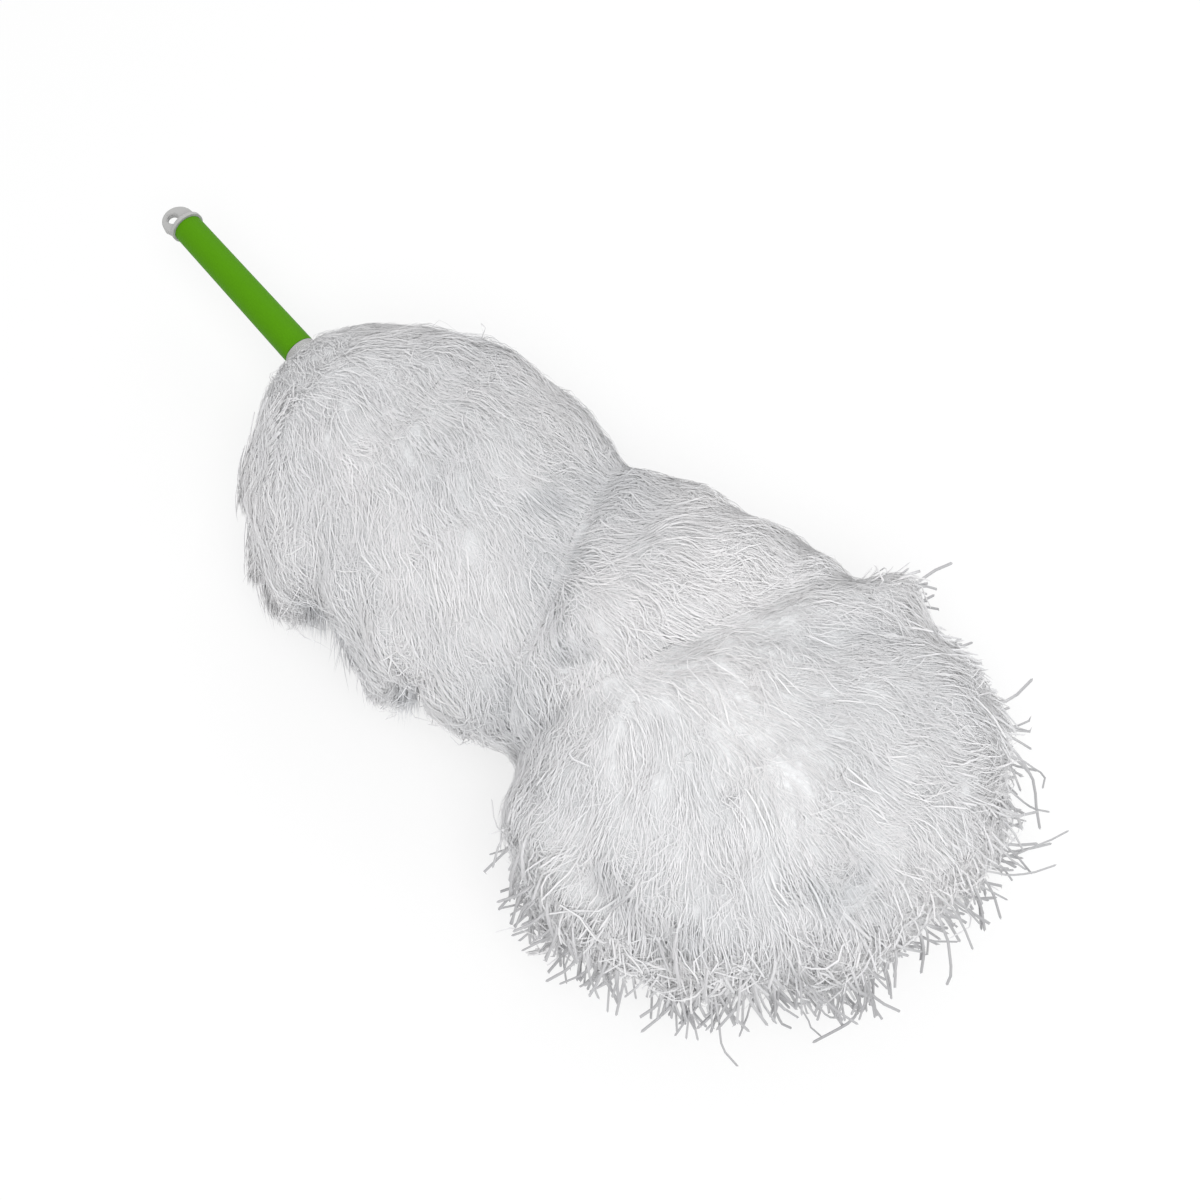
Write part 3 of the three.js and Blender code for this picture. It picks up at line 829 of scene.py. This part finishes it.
LOCKS = (
    Lock(Lobe.NECK, (56, -58, 45), (55, -83, -15)),
    Lock(Lobe.NECK, (91, -79, 40), (86, -103, -30), bulge=9),
    Lock(Lobe.NECK, (104, -82, 40), (109, -106, -35), bulge=10),
    Lock(Lobe.NECK, (112, -82, 40), (118, -101, -38), spread=6, bulge=10),
    Lock(Lobe.NECK, (117, -79, 42), (126, -97, -38), spread=4, point=5, strands=140, bulge=6),
    Lock(Lobe.SHOULDER, (134, -76, 46), (133, -92, -40), spread=4, point=6, strands=70, bulge=1),
    Lock(Lobe.SHOULDER, (152, -76, 46), (155, -92, -40), spread=4, point=6, strands=70, bulge=1),
    Lock(Lobe.SHOULDER, (149, -69, 50), (139, -87, -30), spread=5, strands=80),
    Lock(Lobe.SHOULDER, (163, -73, 48), (166, -90, -30), bulge=9),
    Lock(Lobe.SHOULDER, (178, -74, 42), (186, -95, -35), bulge=9),
    Lock(Lobe.SHOULDER, (188, -67, 46), (185, -77, -35), spread=5, strands=80),
    Lock(Lobe.SHOULDER, (191, -66, 46), (198, -88, -38), spread=5, point=4, strands=180, bulge=6),
    Lock(Lobe.SHOULDER, (197, -59, 50), (195, -71, -35), spread=5),
    Lock(Lobe.SHOULDER, (210, -59, 46), (211, -71, -30), spread=5, strands=90),
    Lock(Lobe.SHOULDER, (220, -54, 45), (222, -65, -35)),
    Lock(Lobe.WAIST, (238, -54, 38), (244, -63, -35), spread=5, strands=120),
)


@dataclass
class Surface:
    """A mesh as arrays: points, faces in groups of equal corners, and any map places and normals."""

    points: np.ndarray
    faces: list[np.ndarray]
    spots: np.ndarray | None = None
    normals: np.ndarray | None = None


def faces_of(*corners: np.ndarray | int) -> np.ndarray:
    """Faces from the numbers of their corners, each array of numbers spread over the others' shape."""
    return np.stack(np.broadcast_arrays(*corners), -1).reshape(-1, len(corners))


def walls_between(levels: int, sides: int) -> np.ndarray:
    """The four-cornered faces between rings of points, which are numbered ring by ring."""
    level, side = np.arange(levels - 1)[:, None] * sides, np.arange(sides)[None]
    after = (side + 1) % sides
    return faces_of(level + side, level + after, level + sides + after, level + sides + side)


def shell(rings: np.ndarray) -> Surface:
    """A closed body from rings of points, with a pole in the middle of each end.

    Args:
        rings: Points by ring, side and axis, each ring running anticlockwise seen from the last.

    Returns:
        The body's surface.
    """
    levels, sides, _ = rings.shape
    points = np.concatenate([rings.reshape(-1, 3), rings[:1].mean(1), rings[-1:].mean(1)])
    side = np.arange(sides)
    after, last, poles = (side + 1) % sides, (levels - 1) * sides, levels * sides
    low, high = faces_of(after, side, poles), faces_of(last + side, last + after, poles + 1)
    return Surface(points, [walls_between(levels, sides), low, high])


# The first side axis of every strand is square to this way, which no strand starts along.
SIDE_GUIDE = (0.3, -0.2, 1.0)


@dataclass
class Tubes:
    """Many strands as arrays: the points and widths along their paths, their sides and their flatness."""

    paths: np.ndarray
    widths: np.ndarray
    sides: int
    flatness: float

    def spokes(self) -> np.ndarray:
        """The ways out from each path to the points round it.

        A ring's two axes are carried from the root: at each step the side axis loses its part along the
        new way and is made a unit again, and the other axis is the way crossed with it.

        Returns:
            Unit vectors by strand, ring, side and axis.
        """
        ways = unit(np.gradient(self.paths, axis=1))
        sideways = np.cross(ways[:, 0], SIDE_GUIDE)
        turns = np.arange(self.sides) * 2 * np.pi / self.sides
        rings = []
        for number in range(self.paths.shape[1] - 1):
            way = ways[:, number]
            sideways = unit(along_surface(sideways, way))
            upward = np.cross(way, sideways)
            across = np.cos(turns)[:, None] * sideways[:, None]
            rings.append(across + np.sin(turns)[:, None] * upward[:, None])
        return np.stack(rings, 1)

    def mesh(self, tones: np.ndarray, normals: np.ndarray, smoothness: float) -> Surface:
        """Closed tubes with a pointed end.

        Args:
            tones: A tone from 0 to 1 for each strand and point of its path.
            normals: The pile's normal at each point of each path.
            smoothness: Its share in the tubes' own normals.

        Returns:
            The tubes as one surface.
        """
        spokes = self.spokes()
        count, levels, sides, _ = spokes.shape
        outward = normals[:, :-1, None]
        pressed = spokes - outward * (spokes * outward).sum(-1, keepdims=True) * self.flatness
        rings = self.paths[:, :-1, None] + self.widths[:, :, None, None] / 2 * pressed
        points = np.concatenate([rings.reshape(count, -1, 3), self.paths[:, -1:]], 1)
        round_normals = spokes * (1 - smoothness) + normals[:, :-1, None] * smoothness
        shading = unit(np.concatenate([round_normals.reshape(count, -1, 3), normals[:, -1:]], 1))
        first, side = np.arange(count)[:, None] * (levels * sides + 1), np.arange(sides)[None]
        walls = (first[..., None] + walls_between(levels, sides)).reshape(-1, 4)
        last = first + (levels - 1) * sides
        tips = faces_of(last + side, last + (side + 1) % sides, last + sides)
        roots = first + side[:, ::-1]
        way = np.append(np.repeat(np.linspace(0, 1, levels + 1)[:-1], sides), 1.0)
        shift = np.append(np.tile(np.arange(sides), levels), 0) * MAP_SHIFT
        tone = np.concatenate([np.repeat(tones[:, :-1], sides, axis=1), tones[:, -1:]], 1)
        across, along = MAP_MARGIN + MAP_TONES * tone + shift[None], MAP_MARGIN + MAP_WAYS * way[None]
        spots = np.stack(np.broadcast_arrays(across, along), -1)
        return Surface(
            points.reshape(-1, 3), [walls, tips, roots], spots.reshape(-1, 2), shading.reshape(-1, 3)
        )


def put(name: str, data: bpy.types.ID) -> bpy.types.Object:
    """A new object of the data, in the scene."""
    thing = bpy.data.objects.new(name, data)
    bpy.context.scene.collection.objects.link(thing)
    return thing


def put_piece(name: str, surface: Surface, material: bpy.types.Material) -> bpy.types.Object:
    """Writes a mesh object.

    Args:
        name: The piece's name.
        surface: Its surface, in metres in the CAD's frame.
        material: Its finish.

    Returns:
        The new object, in the scene.
    """
    mesh = bpy.data.meshes.new(name)
    faces, points = surface.faces, surface.points
    corners = np.concatenate([group.ravel() for group in faces]).astype(np.int32)
    counts = np.concatenate([np.full(len(group), group.shape[1]) for group in faces])
    starts = np.concatenate([[0], np.cumsum(counts)[:-1]]).astype(np.int32)
    mesh.vertices.add(len(points))
    mesh.loops.add(len(corners))
    mesh.polygons.add(len(counts))
    mesh.vertices.foreach_set("co", points.astype(np.float32).ravel())
    mesh.loops.foreach_set("vertex_index", corners)
    mesh.polygons.foreach_set("loop_start", starts)
    mesh.update(calc_edges=True)
    mesh.polygons.foreach_set("use_smooth", np.ones(len(counts), bool))
    if surface.spots is not None:
        layer = mesh.uv_layers.new(name=STRAND_MAP)
        layer.uv.foreach_set("vector", surface.spots[corners].astype(np.float32).ravel())
    mesh.materials.append(material)
    mesh.validate()
    if surface.normals is not None:
        mesh.normals_split_custom_set_from_vertices(surface.normals.astype(np.float32))
    log.info("%s: %d faces", name, len(counts))
    return put(name, mesh)


def joint_place() -> Vector:
    """The middle of the joint between collar and handle in the CAD's frame, from the handle's own box."""
    low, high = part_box("handle_tube")
    return Vector((high.x, (low.y + high.y) / 2, (low.z + high.z) / 2))


# Sub-assemblies


@dataclass
class RigidParts:
    """The pieces that stay as the CAD has them: handle, cap, collar, core, tape and bands."""

    finishes: dict[Slot, Moulded | Drawn | Woven] = field(
        default_factory=lambda: {
            Slot.WHITE_PLASTIC: Moulded("white_plastic", (0.41, 0.41, 0.405), 0.45),
            Slot.GREEN_PLASTIC: Moulded("green_plastic", (0.077, 0.258, 0.003), 0.5, sheen_level=0.06),
            Slot.GREY_PLASTIC: Moulded("grey_plastic", (0.26, 0.27, 0.29), 0.55),
            Slot.STEEL: Drawn(),
            Slot.GREY_TAPE: Woven(),
        }
    )

    def dress(self) -> None:
        """Gives every CAD node that stays its finish, by the record's material slot."""
        materials = {slot.value: finish.material() for slot, finish in self.finishes.items()}
        for part in frame["record"]["subparts"]:
            material = materials.get(part["material_slot"])
            if material is None:
                continue
            node = frame["nodes"][part["node"]]
            for place in node.material_slots:
                place.material = material
            log.info("%s: %s", part["node"], material.name)


# What says how thickly strands grow, from points of the skin and their normals.
Weigh = Callable[[np.ndarray, np.ndarray], np.ndarray]


@dataclass
class Fringe:
    """The microfiber fringe: each lobe's padding, strands and locks, and the front's loose yarn ends.

    Lengths are in millimetres, tones run from 0 to 1, and a fade is a share by place or by height.
    """

    pile: Pile = field(default_factory=Pile)
    comb: Comb = field(default_factory=Comb)
    curls: Ripple = Ripple(seed=5, shortest=9, longest=60)
    knots: Ripple = Ripple(seed=9, shortest=8, longest=24)
    tufts: Ripple = Ripple(seed=12, shortest=50, longest=160)
    seed: int = 31
    base_tone: float = 0.62
    patch_tone: float = 0.1
    # A painted pool of light: the pile's tone is raised round this place.
    painted_light_place: tuple[float, float] = (288, 48)
    painted_light_reach: float = 50
    painted_light_tone: float = 0.6
    # Painted shade: the tone falls with the furrows' depth.
    furrow_shade: float = 0.14
    lock_tone: float = 0.35
    padding_inset: float = 0.52
    padding_knot: float = 0.25
    turn_inset: float = 0.4
    turn_place: float = 407
    turn_reach: float = 18
    furrow_inset: float = 0.2
    furrow_most: float = 3
    rim_inset: float = 2
    most_inset: float = 0.25
    padding_rings: int = 120
    padding_sides: int = 240
    root_rows: int = 160
    root_sides: int = 180
    root_share: float = 0.4
    rise_power: float = 1.7
    steepest: float = 0.9
    guide_spread: float = 0.3
    guide_batches: int = 24
    clump_power: float = 1.4
    taper_power: float = 1.5
    width_scatter: tuple[float, float] = (0.75, 1.2)
    bare_shares: tuple[float, float] = (0.8, 0.2)
    girth: float = 520
    strand_area: float = 20
    yarn_area: float = 100
    floor: float = -60
    floor_gap: float = 0.8
    floor_reach: float = 6
    floor_share: float = 0.3
    rim_slope: float = 0.4
    rim_low: float = -28
    rim_by_front: Fade = Fade(275, 60, 0.02)
    rim_by_left: Fade = Fade(150, -60, 0.3)
    nose_by_front: Fade = Fade(395, 40)
    flank_by_front: Fade = Fade(290, 70, 0.05)
    flank_slopes: tuple[float, float] = (0.35, 0.25)
    flank_least: float = 0.02
    collar_face: float = 10.6
    collar_fade: float = 30
    collar_share: float = 0.5
    collar_crowd: float = 5
    crowd_reach: float = 4
    collar_strands: int = 800
    collar_runs: tuple[float, float] = (0.02, 0.07)
    collar_starts: tuple[float, float] = (0.45, 0.95)
    collar_wander: float = 0.08
    collar_lift: float = 1.2
    most_strands: int = 7000
    fine: dict[Lobe, int] = field(
        default_factory=lambda: dict(zip(Lobe, (8500, 8500, 7000, 14000)))
    )
    fuzz: dict[Lobe, int] = field(
        default_factory=lambda: dict(zip(Lobe, (4000, 4000, 3500, 6500)))
    )
    wisps: int = 1500
    lying_yarns: int = 2300
    rim_yarns: int = 420
    stray_yarns: int = 16

    def __post_init__(self) -> None:
        """Starts the scatter, and sets the origin of the fringe's sizes."""
        self.origin = np.array(joint_place())
        self.rng = np.random.default_rng(self.seed)

    def in_frame(self, points: np.ndarray) -> np.ndarray:
        """Points in metres in the CAD's frame."""
        return points * METRES + self.origin

    def ride(self, piece: bpy.types.Object, *lobes: Lobe) -> None:
        """Makes a piece ride on the head and stand for lobes of the CAD."""
        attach(piece, Body.HEAD.value)
        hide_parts(*(lobe.value for lobe in lobes))

    def padding(self, lobe: Lobe, material: bpy.types.Material) -> None:
        """Builds the matted body of a lobe: the skin drawn in a little, and more under the lying yarns."""
        first, last = self.pile.span(lobe)
        along = np.linspace(first, last, self.padding_rings)[:, None]
        angle = np.linspace(0, 2 * np.pi, self.padding_sides, endpoint=False)[None]
        points, normals = self.pile.skin(along, angle)
        inset = self.padding_inset + self.rim_inset * self.flank(points, normals)
        inset += np.minimum(self.pile.furrows(points), self.furrow_most) * self.furrow_inset
        inset += self.turn_inset * np.exp(-(((points[..., 0] - self.turn_place) / self.turn_reach) ** 2))
        inset = np.minimum(inset, np.linalg.norm(points[..., 1:], axis=-1) * self.most_inset)
        # The tone carries the painted pool of light and the painted shade of the furrows.
        tone = self.tones(points)
        knot = self.knots.at(points)[..., :1] * self.padding_knot
        points = points + normals * (knot - inset[..., None])
        points[..., 2] = np.maximum(points[..., 2], self.floor + self.floor_gap)
        skin = shell(points)
        skin.points = self.in_frame(skin.points)
        tone = np.concatenate([tone.ravel(), tone[0, :1], tone[-1, :1]])
        skin.spots = MAP_MARGIN + MAP_WAYS * np.stack([tone, np.full_like(tone, 0.5)], -1)
        name = lobe.value.replace("fringe", "padding")
        self.ride(put_piece(name, skin, material), lobe)

    def roots(self, lobe: Lobe, count: int, weigh: Weigh | None = None) -> np.ndarray:
        """Random points on a lobe's skin, by area, with fewer on the floor and more beside the collar.

        Args:
            lobe: The lobe.
            count: How many.
            weigh: How thickly they grow, if not evenly.

        Returns:
            The points.
        """
        first, last = self.pile.span(lobe)
        rows, sides = self.root_rows, self.root_sides
        along, angle = np.linspace(first, last, rows + 1), np.linspace(0, 2 * np.pi, sides + 1)
        grid = self.pile.point(along[:, None], angle[None])
        crosses = np.cross(grid[1:, 1:] - grid[:-1, :-1], grid[1:, :-1] - grid[:-1, 1:])
        middles = (grid[1:, 1:] + grid[:-1, :-1]) / 2
        weights = np.linalg.norm(crosses, axis=-1)
        weights *= np.where(middles[..., 2] < self.floor + self.floor_reach, self.floor_share, 1)
        weights *= 1 + self.collar_crowd * np.exp((self.collar_face - middles[..., 0]) / self.crowd_reach)
        if weigh:
            normals, _ = self.pile.stand(middles)
            weights *= weigh(middles, normals)
        chosen = self.rng.choice(weights.size, count, p=(weights / weights.sum()).ravel())
        row, side = np.divmod(chosen, sides)
        row, side = row + self.rng.random(count), side + self.rng.random(count)
        step = (last - first) / rows, 2 * np.pi / sides
        return self.pile.skin(first + row * step[0], side * step[1])[0]

    def grow(self, roots: np.ndarray, yarn: Yarn) -> np.ndarray:
        """Grows strands from roots on the skin.

        Args:
            roots: Points on the skin.
            yarn: The kind of strand.

        Returns:
            Points by strand and step, from root to tip.
        """
        count = len(roots)
        lengths = self.rng.uniform(*yarn.length, count)[:, None]
        lengths *= Fade(self.collar_face, self.collar_fade, self.collar_share).at(roots[:, :1])
        low, high = yarn.tip_height
        heights = low + (high - low) * self.rng.random((count, 1)) ** yarn.height_skew
        scatter = self.rng.normal(size=(count, 3)) * yarn.scatter
        normals, _ = self.pile.stand(roots)
        from_axis = np.linalg.norm(roots[:, 1:], axis=-1, keepdims=True)
        inside = np.minimum(yarn.root_depth, from_axis * self.root_share)
        point = roots - normals * inside
        way = unit(along_surface(self.comb.at(point), normals) + yarn.lift * normals)
        path = [point]
        step = lengths / yarn.steps
        for number in range(yarn.steps):
            share = (number + 1) / yarn.steps
            point = path[-1] + way * step
            normals, height = self.pile.stand(point)
            pull = self.comb.at(point) + self.curls.at(point) * yarn.swirl + scatter
            pull = pull + np.array([0, 0, -yarn.sag])
            wanted = heights - (heights + inside) * (1 - share) ** self.rise_power
            rise = np.clip((wanted - height[:, None]) / step, -self.steepest, self.steepest)
            lie = unit(along_surface(pull, normals))
            way = unit(yarn.stiffness * way + (1 - yarn.stiffness) * (lie + rise * normals))
            point = np.where([False, False, True], np.maximum(point, self.floor + yarn.width), point)
            point[:, 0] = np.maximum(point[:, 0], self.collar_face + yarn.width)
            path.append(point)
        path[-2] = path[-1] + (path[-2] - path[-1]) * yarn.end_step
        return np.stack(path, 1)

    def clumped(
        self, paths: np.ndarray, roots: np.ndarray, yarn: Yarn, area: float
    ) -> tuple[np.ndarray, np.ndarray]:
        """Draws strands together into locks.

        Each strand follows the nearest guide, which is one of the strands: its points move towards the
        guide's, shifted by a small share of the gap between their roots, and most at the tip.

        Args:
            paths: The strands' points.
            roots: Their roots on the skin.
            yarn: The kind of strand.
            area: The skin that they cover, in square millimetres.

        Returns:
            The moved points, and a tone from 0 to 1 that all strands of a lock share.
        """
        guides = self.rng.choice(len(paths), max(1, round(area / yarn.guide_spacing**2)), replace=False)
        nearest = np.concatenate([
            ((part[:, None] - roots[guides][None]) ** 2).sum(-1).argmin(1)
            for part in np.array_split(roots, self.guide_batches)
        ])
        leader = guides[nearest]
        share = np.linspace(0, 1, paths.shape[1])[None, :, None] ** self.clump_power
        share = share * self.rng.uniform(*yarn.clump, len(paths))[:, None, None]
        gathered = paths[leader] + (roots - roots[leader])[:, None] * self.guide_spread
        return paths * (1 - share) + gathered * share, self.rng.random(len(guides))[nearest]

    def tones(self, points: np.ndarray) -> np.ndarray:
        """The tone of the pile: broad patches, a painted pool of light round one place, painted shade in
        the furrows.
        """
        patches = self.tufts.at(points)[..., 0] * self.patch_tone
        apart = ((points[..., :2] - self.painted_light_place) ** 2).sum(-1)
        painted_light = np.exp(-apart / self.painted_light_reach**2)
        furrows = self.pile.furrows(points) * self.furrow_shade
        return np.clip(self.base_tone + patches + painted_light * self.painted_light_tone - furrows, 0, 1)

    def strands(
        self, name: str, lobe: Lobe, paths: np.ndarray, shades: np.ndarray, yarn: Yarn, finish: SplitYarn
    ) -> None:
        """Writes strands as pieces, each with no more than the most strands.

        Args:
            name: What the pieces' names start with.
            lobe: The lobe that they belong to.
            paths: Points by strand and step.
            shades: Each strand's own tone.
            yarn: The kind of strand.
            finish: Its finish.
        """
        count, rings = len(paths), paths.shape[1] - 1
        paths[..., 2] = np.maximum(paths[..., 2], self.floor + yarn.width)
        share = np.linspace(0, 1, rings)[None]
        scatter = self.rng.uniform(*self.width_scatter, count)[:, None]
        widths = yarn.width * (1 - yarn.taper * share**self.taper_power) * scatter
        normals, heights = self.pile.stand(paths)
        normals[..., 2] = np.maximum(normals[..., 2], 0)
        leans = unit(normals + np.array([0, 0, yarn.upward]))
        # Bare finishes grey with height as painted shade; the rest take the pile's tone, with its painted
        # light and shade, and a random tone for each lock.
        if finish.bare_height:
            by_height, by_shade = self.bare_shares
            tones = np.clip(heights / finish.bare_height, 0, 1) * by_height + shades[:, None] * by_shade
        else:
            tones = np.clip(self.tones(paths) + (shades[:, None] - 0.5) * self.lock_tone, 0, 1)
        parts = math.ceil(count / self.most_strands)
        for number, chosen in enumerate(np.array_split(np.arange(count), parts)):
            tubes = Tubes(paths[chosen], widths[chosen], yarn.sides, yarn.flatness)
            surface = tubes.mesh(tones[chosen], leans[chosen], yarn.smoothness)
            surface.points = self.in_frame(surface.points)
            label = f"{name}_{lobe.value.removeprefix('fringe_')}"
            label += f"_{number + 1}" if parts > 1 else ""
            self.ride(put_piece(label, surface, self.material(finish)), lobe)

    def material(self, finish: SplitYarn) -> bpy.types.Material:
        """A finish's material, built once."""
        if finish.name not in bpy.data.materials:
            finish.material()
        return bpy.data.materials[finish.name]

    def rim(self, points: np.ndarray, normals: np.ndarray) -> np.ndarray:
        """How many yarns stand out at a point: most round the front's rim, where the skin is upright."""
        side = np.exp(-((normals[..., 2] / self.rim_slope) ** 2)) * (points[..., 2] > self.rim_low)
        return side * self.rim_by_left.at(points[..., 1]) * self.rim_by_front.at(points[..., 0])

    def nose(self, points: np.ndarray, normals: np.ndarray) -> np.ndarray:
        """How many stray yarns there are at a point: some round the rim of the nose."""
        return self.rim(points, normals) * self.nose_by_front.at(points[..., 0])

    def flank(self, points: np.ndarray, normals: np.ndarray) -> np.ndarray:
        """How many yarns lie at a point: most on the front's slopes, and few on its top."""
        middle, width = self.flank_slopes
        slope = np.exp(-(((normals[..., 2] - middle) / width) ** 2))
        return (self.flank_least + slope) * self.flank_by_front.at(points[..., 0])

    def collar_tuft(self) -> None:
        """Lays fine strands from the collar over the near end of the head.

        Each starts beside the collar, at a share of its first skin point's distance from the axis, and
        then runs along the skin, at an angle that wanders, a little over it.
        """
        count, steps = self.collar_strands, FINE_STRANDS.steps
        wander = self.rng.normal(size=(count, steps)).cumsum(1) * self.collar_wander
        along = np.linspace(0, 1, steps) * self.rng.uniform(*self.collar_runs, (count, 1))
        points, normals = self.pile.skin(along, self.rng.uniform(0, 2 * np.pi, (count, 1)) + wander)
        points = points + normals * self.rng.uniform(0, self.collar_lift, (count, 1, 1))
        inner = points[:, :1] * self.rng.uniform(*self.collar_starts, (count, 1, 1))
        ahead = self.rng.uniform(0, self.collar_lift / 2, (count, 1))
        inner[..., 0] = self.collar_face + FINE_STRANDS.width + ahead
        paths, shades = np.concatenate([inner, points], 1), self.rng.random(count)
        self.strands("collar_strands", Lobe.NECK, paths, shades, FINE_STRANDS, SplitYarn())

    def sow(
        self,
        name: str,
        lobe: Lobe,
        yarn: Yarn,
        count: int,
        area: float,
        finish: SplitYarn,
        weigh: Weigh | None = None,
    ) -> None:
        """Grows one kind of strand on a lobe, draws them together into locks and writes them.

        Args:
            name: What the pieces' names start with.
            lobe: The lobe.
            yarn: The kind of strand.
            count: How many.
            area: The skin that they cover, in square millimetres.
            finish: Their finish.
            weigh: How thickly they grow, if not evenly.
        """
        roots = self.roots(lobe, count, weigh)
        paths, shades = self.clumped(self.grow(roots, yarn), roots, yarn, area)
        self.strands(name, lobe, paths, shades, yarn, finish)

    def build(self) -> None:
        """Builds every lobe and the loose yarn ends."""
        felt = Felted().material()
        for lobe in Lobe:
            self.padding(lobe, felt)
            first, last = self.pile.span(lobe)
            area = (last - first) * self.pile.length * self.girth
            for name, yarn, count in (
                ("strands", FINE_STRANDS, self.fine[lobe]),
                ("fuzz", FUZZ, self.fuzz[lobe]),
                ("wisps", WISPS, self.wisps),
            ):
                self.sow(name, lobe, yarn, count, min(area, count * self.strand_area), SplitYarn())
            locks = [lock.grow(self.pile, self.rng) for lock in LOCKS if lock.lobe is lobe]
            if locks:
                paths = np.concatenate(locks)
                shades = self.rng.random(len(paths))
                self.strands("locks", lobe, paths, shades, LOCK_STRANDS, SplitYarn())
        for name, yarn, count, weigh, finish in (
            ("lying_yarns", LYING_YARNS, self.lying_yarns, self.flank, LYING_YARN),
            ("rim_yarns", RIM_YARNS, self.rim_yarns, self.rim, LOOSE_YARN),
            ("stray_yarns", STRAY_YARNS, self.stray_yarns, self.nose, LOOSE_YARN),
        ):
            self.sow(name, Lobe.FRONT, yarn, count, count * self.yarn_area, finish, weigh)
        self.collar_tuft()


@dataclass(frozen=True)
class Lamp:
    """A square soft lamp: its place and what it faces, in metres, its side and its power in watts."""

    name: str
    place: tuple[float, float, float]
    target: tuple[float, float, float]
    size: float
    power: float

    def hang(self) -> None:
        """Hangs the lamp so that it faces its target."""
        light = bpy.data.lights.new(self.name, "AREA")
        light.shape, light.size, light.energy = "SQUARE", self.size, self.power
        lamp = put(self.name, light)
        lamp.location = self.place
        facing = Vector(self.target) - Vector(self.place)
        lamp.rotation_euler = facing.to_track_quat("-Z", "Y").to_euler()


@dataclass
class Studio:
    """The pale floor, the lamps and the camera."""

    lamps: tuple[Lamp, ...] = (
        Lamp("key", place=(0.62, -0.3, 1.6), target=(0.1, 0, 0), size=1.2, power=19.5),
        Lamp("fill", place=(-1.0, 1.5, 1.4), target=(0, 0, 0.05), size=1.4, power=10),
    )
    floor_half: float = 6.0
    floor_drop: float = 0.0005
    floor_colour: tuple[float, float, float] = (0.84, 0.84, 0.84)
    floor_white: float = 0.7
    lens: float = 45
    sensor: float = 36
    clip: tuple[float, float] = (0.01, 50)
    camera_place: tuple[float, float, float] = (0.42745, -0.14301, 0.7802)
    azimuth: float = 48.73
    elevation: float = 71.38
    world_strength: float = 0.68

    def white_share(self, tree: bpy.types.NodeTree) -> bpy.types.NodeSocket:
        """1 for the rays that see the background itself: camera, glossy and transmission rays."""
        path = tree.nodes.new("ShaderNodeLightPath")
        total = path.outputs["Is Camera Ray"]
        for name in ("Is Glossy Ray", "Is Transmission Ray"):
            node = tree.nodes.new("ShaderNodeMath")
            node.operation = "MAXIMUM"
            tree.links.new(total, node.inputs[0])
            tree.links.new(path.outputs[name], node.inputs[1])
            total = node.outputs[0]
        return total

    def floor(self) -> None:
        """Builds the floor: a dull pale sheet that adds white of its own for the camera's rays alone."""
        half = self.floor_half
        mesh = bpy.data.meshes.new("floor")
        corners = [(-half, -half), (half, -half), (half, half), (-half, half)]
        mesh.from_pydata([(x, y, -self.floor_drop) for x, y in corners], [], [(0, 1, 2, 3)])
        floor = put("floor", mesh)
        tree = ShaderTree("pale_floor")
        nodes = tree.material.node_tree
        dull = tree.add("ShaderNodeBsdfDiffuse", values={"Color": (*self.floor_colour, 1)})
        white = tree.add("ShaderNodeEmission", values={"Color": (1, 1, 1, 1), "Strength": 1.0})
        share = Signal(tree, self.white_share(nodes)) * self.floor_white
        both = tree.add("ShaderNodeMixShader", values={0: share, 1: dull, 2: white})
        tree.add("ShaderNodeOutputMaterial", values={"Surface": both})
        mesh.materials.append(tree.material)
        floor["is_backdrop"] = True

    def world(self) -> None:
        """Lights from all round, and shows plain white where nothing stands."""
        world = bpy.data.worlds.new("studio")
        bpy.context.scene.world = world
        world.use_nodes = True
        tree = world.node_tree
        tree.nodes.clear()
        soft, white = (tree.nodes.new("ShaderNodeBackground") for _ in range(2))
        soft.inputs["Strength"].default_value = self.world_strength
        soft.inputs["Color"].default_value = (1, 1, 1, 1)
        white.inputs["Color"].default_value = (1, 1, 1, 1)
        mix, out = tree.nodes.new("ShaderNodeMixShader"), tree.nodes.new("ShaderNodeOutputWorld")
        tree.links.new(self.white_share(tree), mix.inputs[0])
        tree.links.new(soft.outputs[0], mix.inputs[1])
        tree.links.new(white.outputs[0], mix.inputs[2])
        tree.links.new(mix.outputs[0], out.inputs["Surface"])

    def camera(self) -> None:
        """Stands the camera where the photograph was taken from."""
        data = bpy.data.cameras.new("camera")
        data.lens, data.sensor_width = self.lens, self.sensor
        data.clip_start, data.clip_end = self.clip
        camera = put("camera", data)
        turn, rise = math.radians(self.azimuth), math.radians(self.elevation)
        back = Vector((math.sin(turn) * math.cos(rise), -math.cos(turn) * math.cos(rise), math.sin(rise)))
        camera.location = joint_place() + Vector(self.camera_place)
        camera.rotation_euler = (-back).to_track_quat("-Z", "Y").to_euler()
        bpy.context.scene.camera = camera

    def build(self) -> None:
        """Builds the stage and sets how colours are shown."""
        self.floor()
        self.world()
        for lamp in self.lamps:
            lamp.hang()
        self.camera()
        bpy.context.scene.view_settings.view_transform = "Standard"


def main() -> None:
    """Builds the duster, then the stage, and notes the box before and after."""
    logging.basicConfig(level=logging.INFO, format="%(message)s")
    RigidParts().dress()
    Fringe().build()
    Studio().build()
    sizes = {"cad": box_at_start, "scene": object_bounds()}
    for key, box in sizes.items():
        log.info("%s box: %s to %s", key, *([round(value, 4) for value in corner] for corner in box))


if __name__ == "__main__":
    main()
